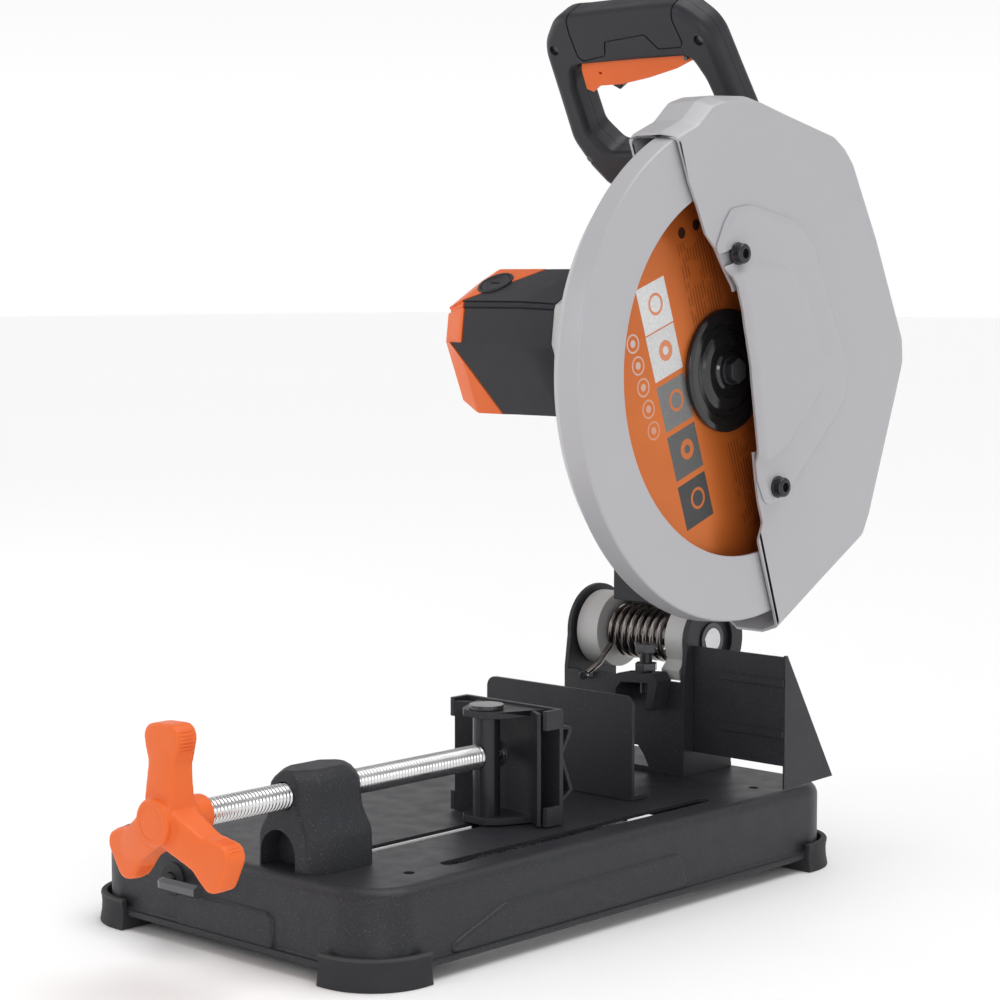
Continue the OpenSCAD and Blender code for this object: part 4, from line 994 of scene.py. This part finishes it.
def spindle_lock():
    """A dished button; its stem has more room in its bore than the CAD's."""
    button = to_mesh("button", turned_y(rounded(LOCK_SECTION, 3), (54, ARBOR[1]), 40))
    place("lock_button", button, "spindle_lock", "black_plastic", sharp=40)


# ------------------------------------ pieces: handle

# In the handle's own frame: y runs up the loop and z to the front
LOOP_OUTER = [(-72, -64, 6), (-83, -46, 10), (-92, -20, 30), (-83.7, 67.8, 34), (-61.7, 90.6, 26),
              (-40, 90, 60), (30, 91, 60), (62.7, 90.6, 26), (84.7, 67.8, 34), (90, -20, 30), (82, -46, 10),
              (72, -64, 6)]
LOOP_INNER = [(-57, -33, 10), (-70, -14, 14), (-67, 26, 30), (-60, 47, 12), (59, 47, 12), (66, 26, 30),
              (70, -14, 14), (57, -33, 10)]
LOOP_CENTRE, LOOP_STEPS = (0, 10), 180
LOOP_PLACE, LEAN = (-1, 209.5, 596.6), math.radians(122)
GRIP_LINE = [(-47, 95, 0), (-50, 75, 10), (-50, 55, 5), (-46, 51, 4), (-22, 54, 3), (-17, 66, 3), (24, 69, 3),
             (33, 56, 3), (56, 56, 4), (58, 60, 4), (56, 78, 10), (60, 95, 0)]
GROOVE_WIDTH, GROOVE_DEPTH = 1.3, 1.1
SCREW_HOLES = ((-72, 62), (74, 60), (-81, -38), (80, -38))


def handle_point(x, y, z):
    """A point of the handle's own frame, in the head's."""
    return (x + LOOP_PLACE[0], LOOP_PLACE[1] + y * math.cos(LEAN) - z * math.sin(LEAN),
            LOOP_PLACE[2] + y * math.sin(LEAN) + z * math.cos(LEAN))


def ray_hit(outline, angle):
    """Where a ray from the loop's centre meets an outline."""
    d = (math.cos(angle), math.sin(angle))
    best = None
    for i, b in enumerate(outline):
        a = outline[i - 1]
        ex, ey = b[0] - a[0], b[1] - a[1]
        det = d[0] * -ey + ex * d[1]
        if abs(det) < 1e-9:
            continue
        wx, wy = a[0] - LOOP_CENTRE[0], a[1] - LOOP_CENTRE[1]
        t = (wx * -ey + ex * wy) / det
        s = (d[0] * wy - d[1] * wx) / det
        if t > 0 and -1e-6 <= s <= 1 + 1e-6 and (best is None or t > best):
            best = t
    return LOOP_CENTRE[0] + d[0] * best, LOOP_CENTRE[1] + d[1] * best


def band(section, sign):
    """A closed solid round the loop. section is (outline, distance from it, depth)."""
    outer, inner = rounded(LOOP_OUTER, 8), rounded(LOOP_INNER, 6)
    rings = []
    for a in turn_of(LOOP_STEPS):
        o, i = Vector(ray_hit(outer, a)), Vector(ray_hit(inner, a))
        way = (i - o).normalized()
        points = [(o + way * d if side == "outer" else i - way * d, z) for side, d, z in section]
        rings.append([handle_point(p.x, p.y, z * sign) for p, z in points])
    return loft(rings, loop=True)


def half_section(trim=0.0):
    """Half of the band's section: a flat parting face at its middle, and rounded edges at the front."""
    angles = [math.radians(15 * k) for k in range(7)]
    points = [("outer", trim + 8 * (1 - math.cos(t)), 7 + (8 - trim) * math.sin(t)) for t in angles]
    points += [("inner", trim + 5.5 * (1 - math.cos(t)), 9.5 + (5.5 - trim) * math.sin(t))
               for t in angles[::-1]]
    return points + [("inner", trim, 0.15), ("outer", trim, 0.15)]


def handle_prism(outline, z0, z1):
    return to_mesh("tool", loft([[handle_point(p[0], p[1], z) for p in outline] for z in (z0, z1)]))


def stroke(path, width):
    """A line's outline, as wide as width."""
    left, right = [], []
    for i, p in enumerate(path):
        a, b = Vector(path[max(i - 1, 0)]), Vector(path[min(i + 1, len(path) - 1)])
        d = (b - a).normalized()
        n = Vector((-d.y, d.x)) * width / 2
        left.append(tuple(Vector(p) + n))
        right.append(tuple(Vector(p) - n))
    return left + right[::-1]


def handle_shells():
    grip = rounded(GRIP_LINE, 5, closed=False)
    for name, node, sign in (("grip_front", "handle_front_shell", 1), ("grip_rear", "handle_rear_shell", -1)):
        shell = to_mesh("shell", band(half_section(), sign))
        core = to_mesh("core", band(half_section(GROOVE_DEPTH), sign))
        cuts = [boolean(handle_prism(stroke(grip, GROOVE_WIDTH), 0.4 * sign, 20 * sign), [core])]
        if sign > 0:
            cuts += [handle_prism(circle(p, 4.3, 32), 9, 20) for p in SCREW_HOLES]
        pocket = (-0.5, 10.5) if sign > 0 else (-10.5, 0.5)
        cuts.append(handle_prism(rect(-61, 60, 40, 64), *pocket))
        place(name, boolean(shell, cuts), node, "black_plastic", sharp=32)


# ------------------------------------ all pieces

# CAD nodes that keep their shape, with their material, edge radius and its segments
PLAIN = {
    "foot_screws": ("zinc_steel", 0.3, 1), "key_grommet": ("rubber", 0.8, 2),
    "base_bolts": ("zinc_steel", 0.4, 2), "pivot_bracket": ("powder_coat", 1.6, 3),
    "pivot_shaft": ("bright_steel", 0.8, 2), "shaft_rings": ("black_oxide", 0.3, 1),
    "stop_bracket": ("powder_coat", 0.9, 2), "stop_nut": ("black_oxide", 0.5, 2),
    "deflector": ("powder_coat", 0.6, 2), "deflector_screws": ("black_oxide", 0.6, 2),
    "vise_nut": ("bronze", 0.3, 1), "fence_pivot_bolt": ("zinc_steel", 0.5, 2),
    "fence": ("powder_coat", 0.9, 2), "fence_lock_bolt": ("zinc_steel", 0.5, 2),
    "stop_bolt": ("black_oxide", 0.6, 2), "lock_pin": ("black_oxide", 0.8, 2),
    "hex_key": ("black_oxide", 0.4, 2), "jaw_pin": ("black_oxide", 0.8, 2),
    "screw_clip": ("black_oxide", 0.3, 1), "jaw_frame": ("powder_coat", 1.0, 2),
    "jaw_v_plate": ("powder_coat", 0.9, 2), "gear_housing": ("cast_alloy", 2.0, 3),
    "pivot_arm": ("cast_alloy", 1.2, 2), "arm_shield": ("powder_coat", 0.7, 2),
    "handle_neck": ("black_plastic", 4.0, 3), "handle_screws": ("black_oxide", 0.3, 1),
    "cord_gland": ("rubber", 0.8, 2), "saw_disc": ("disc_print", 0.15, 1),
    "inner_flange": ("gloss_black", 0.8, 2), "arbor_bolt": ("black_oxide", 0.5, 2),
    "trigger": ("orange_plastic", 1.6, 3), "lock_off": ("black_plastic", 1.2, 2),
}
# CAD nodes inside, which only get a material
INNER = {
    "carbon_brushes": "carbon", "stator": "lamination", "motor_bearings": "bright_steel",
    "spindle_bearings": "bright_steel", "trigger_switch": "black_plastic", "spindle": "bright_steel",
    "output_gear": "bright_steel", "armature_shaft": "bright_steel", "rotor_pack": "lamination",
    "commutator": "copper", "cooling_fan": "black_plastic",
}

add_camera()
make_materials()
add_studio()
for build in (fixed_guard, moving_guard, arbor_cover, outer_flange, guard_bolts, vise_screw, vise_knob,
              vise_block, torsion_spring, base_tray, rubber_feet, motor_body, brush_caps, spindle_lock,
              handle_shells):
    build()
for node, (material, width, segments) in PLAIN.items():
    refine(node, material, width, segments)
for node, material in INNER.items():
    ob = frame["nodes"][node]
    ob.data.materials.clear()
    ob.data.materials.append(materials[material])
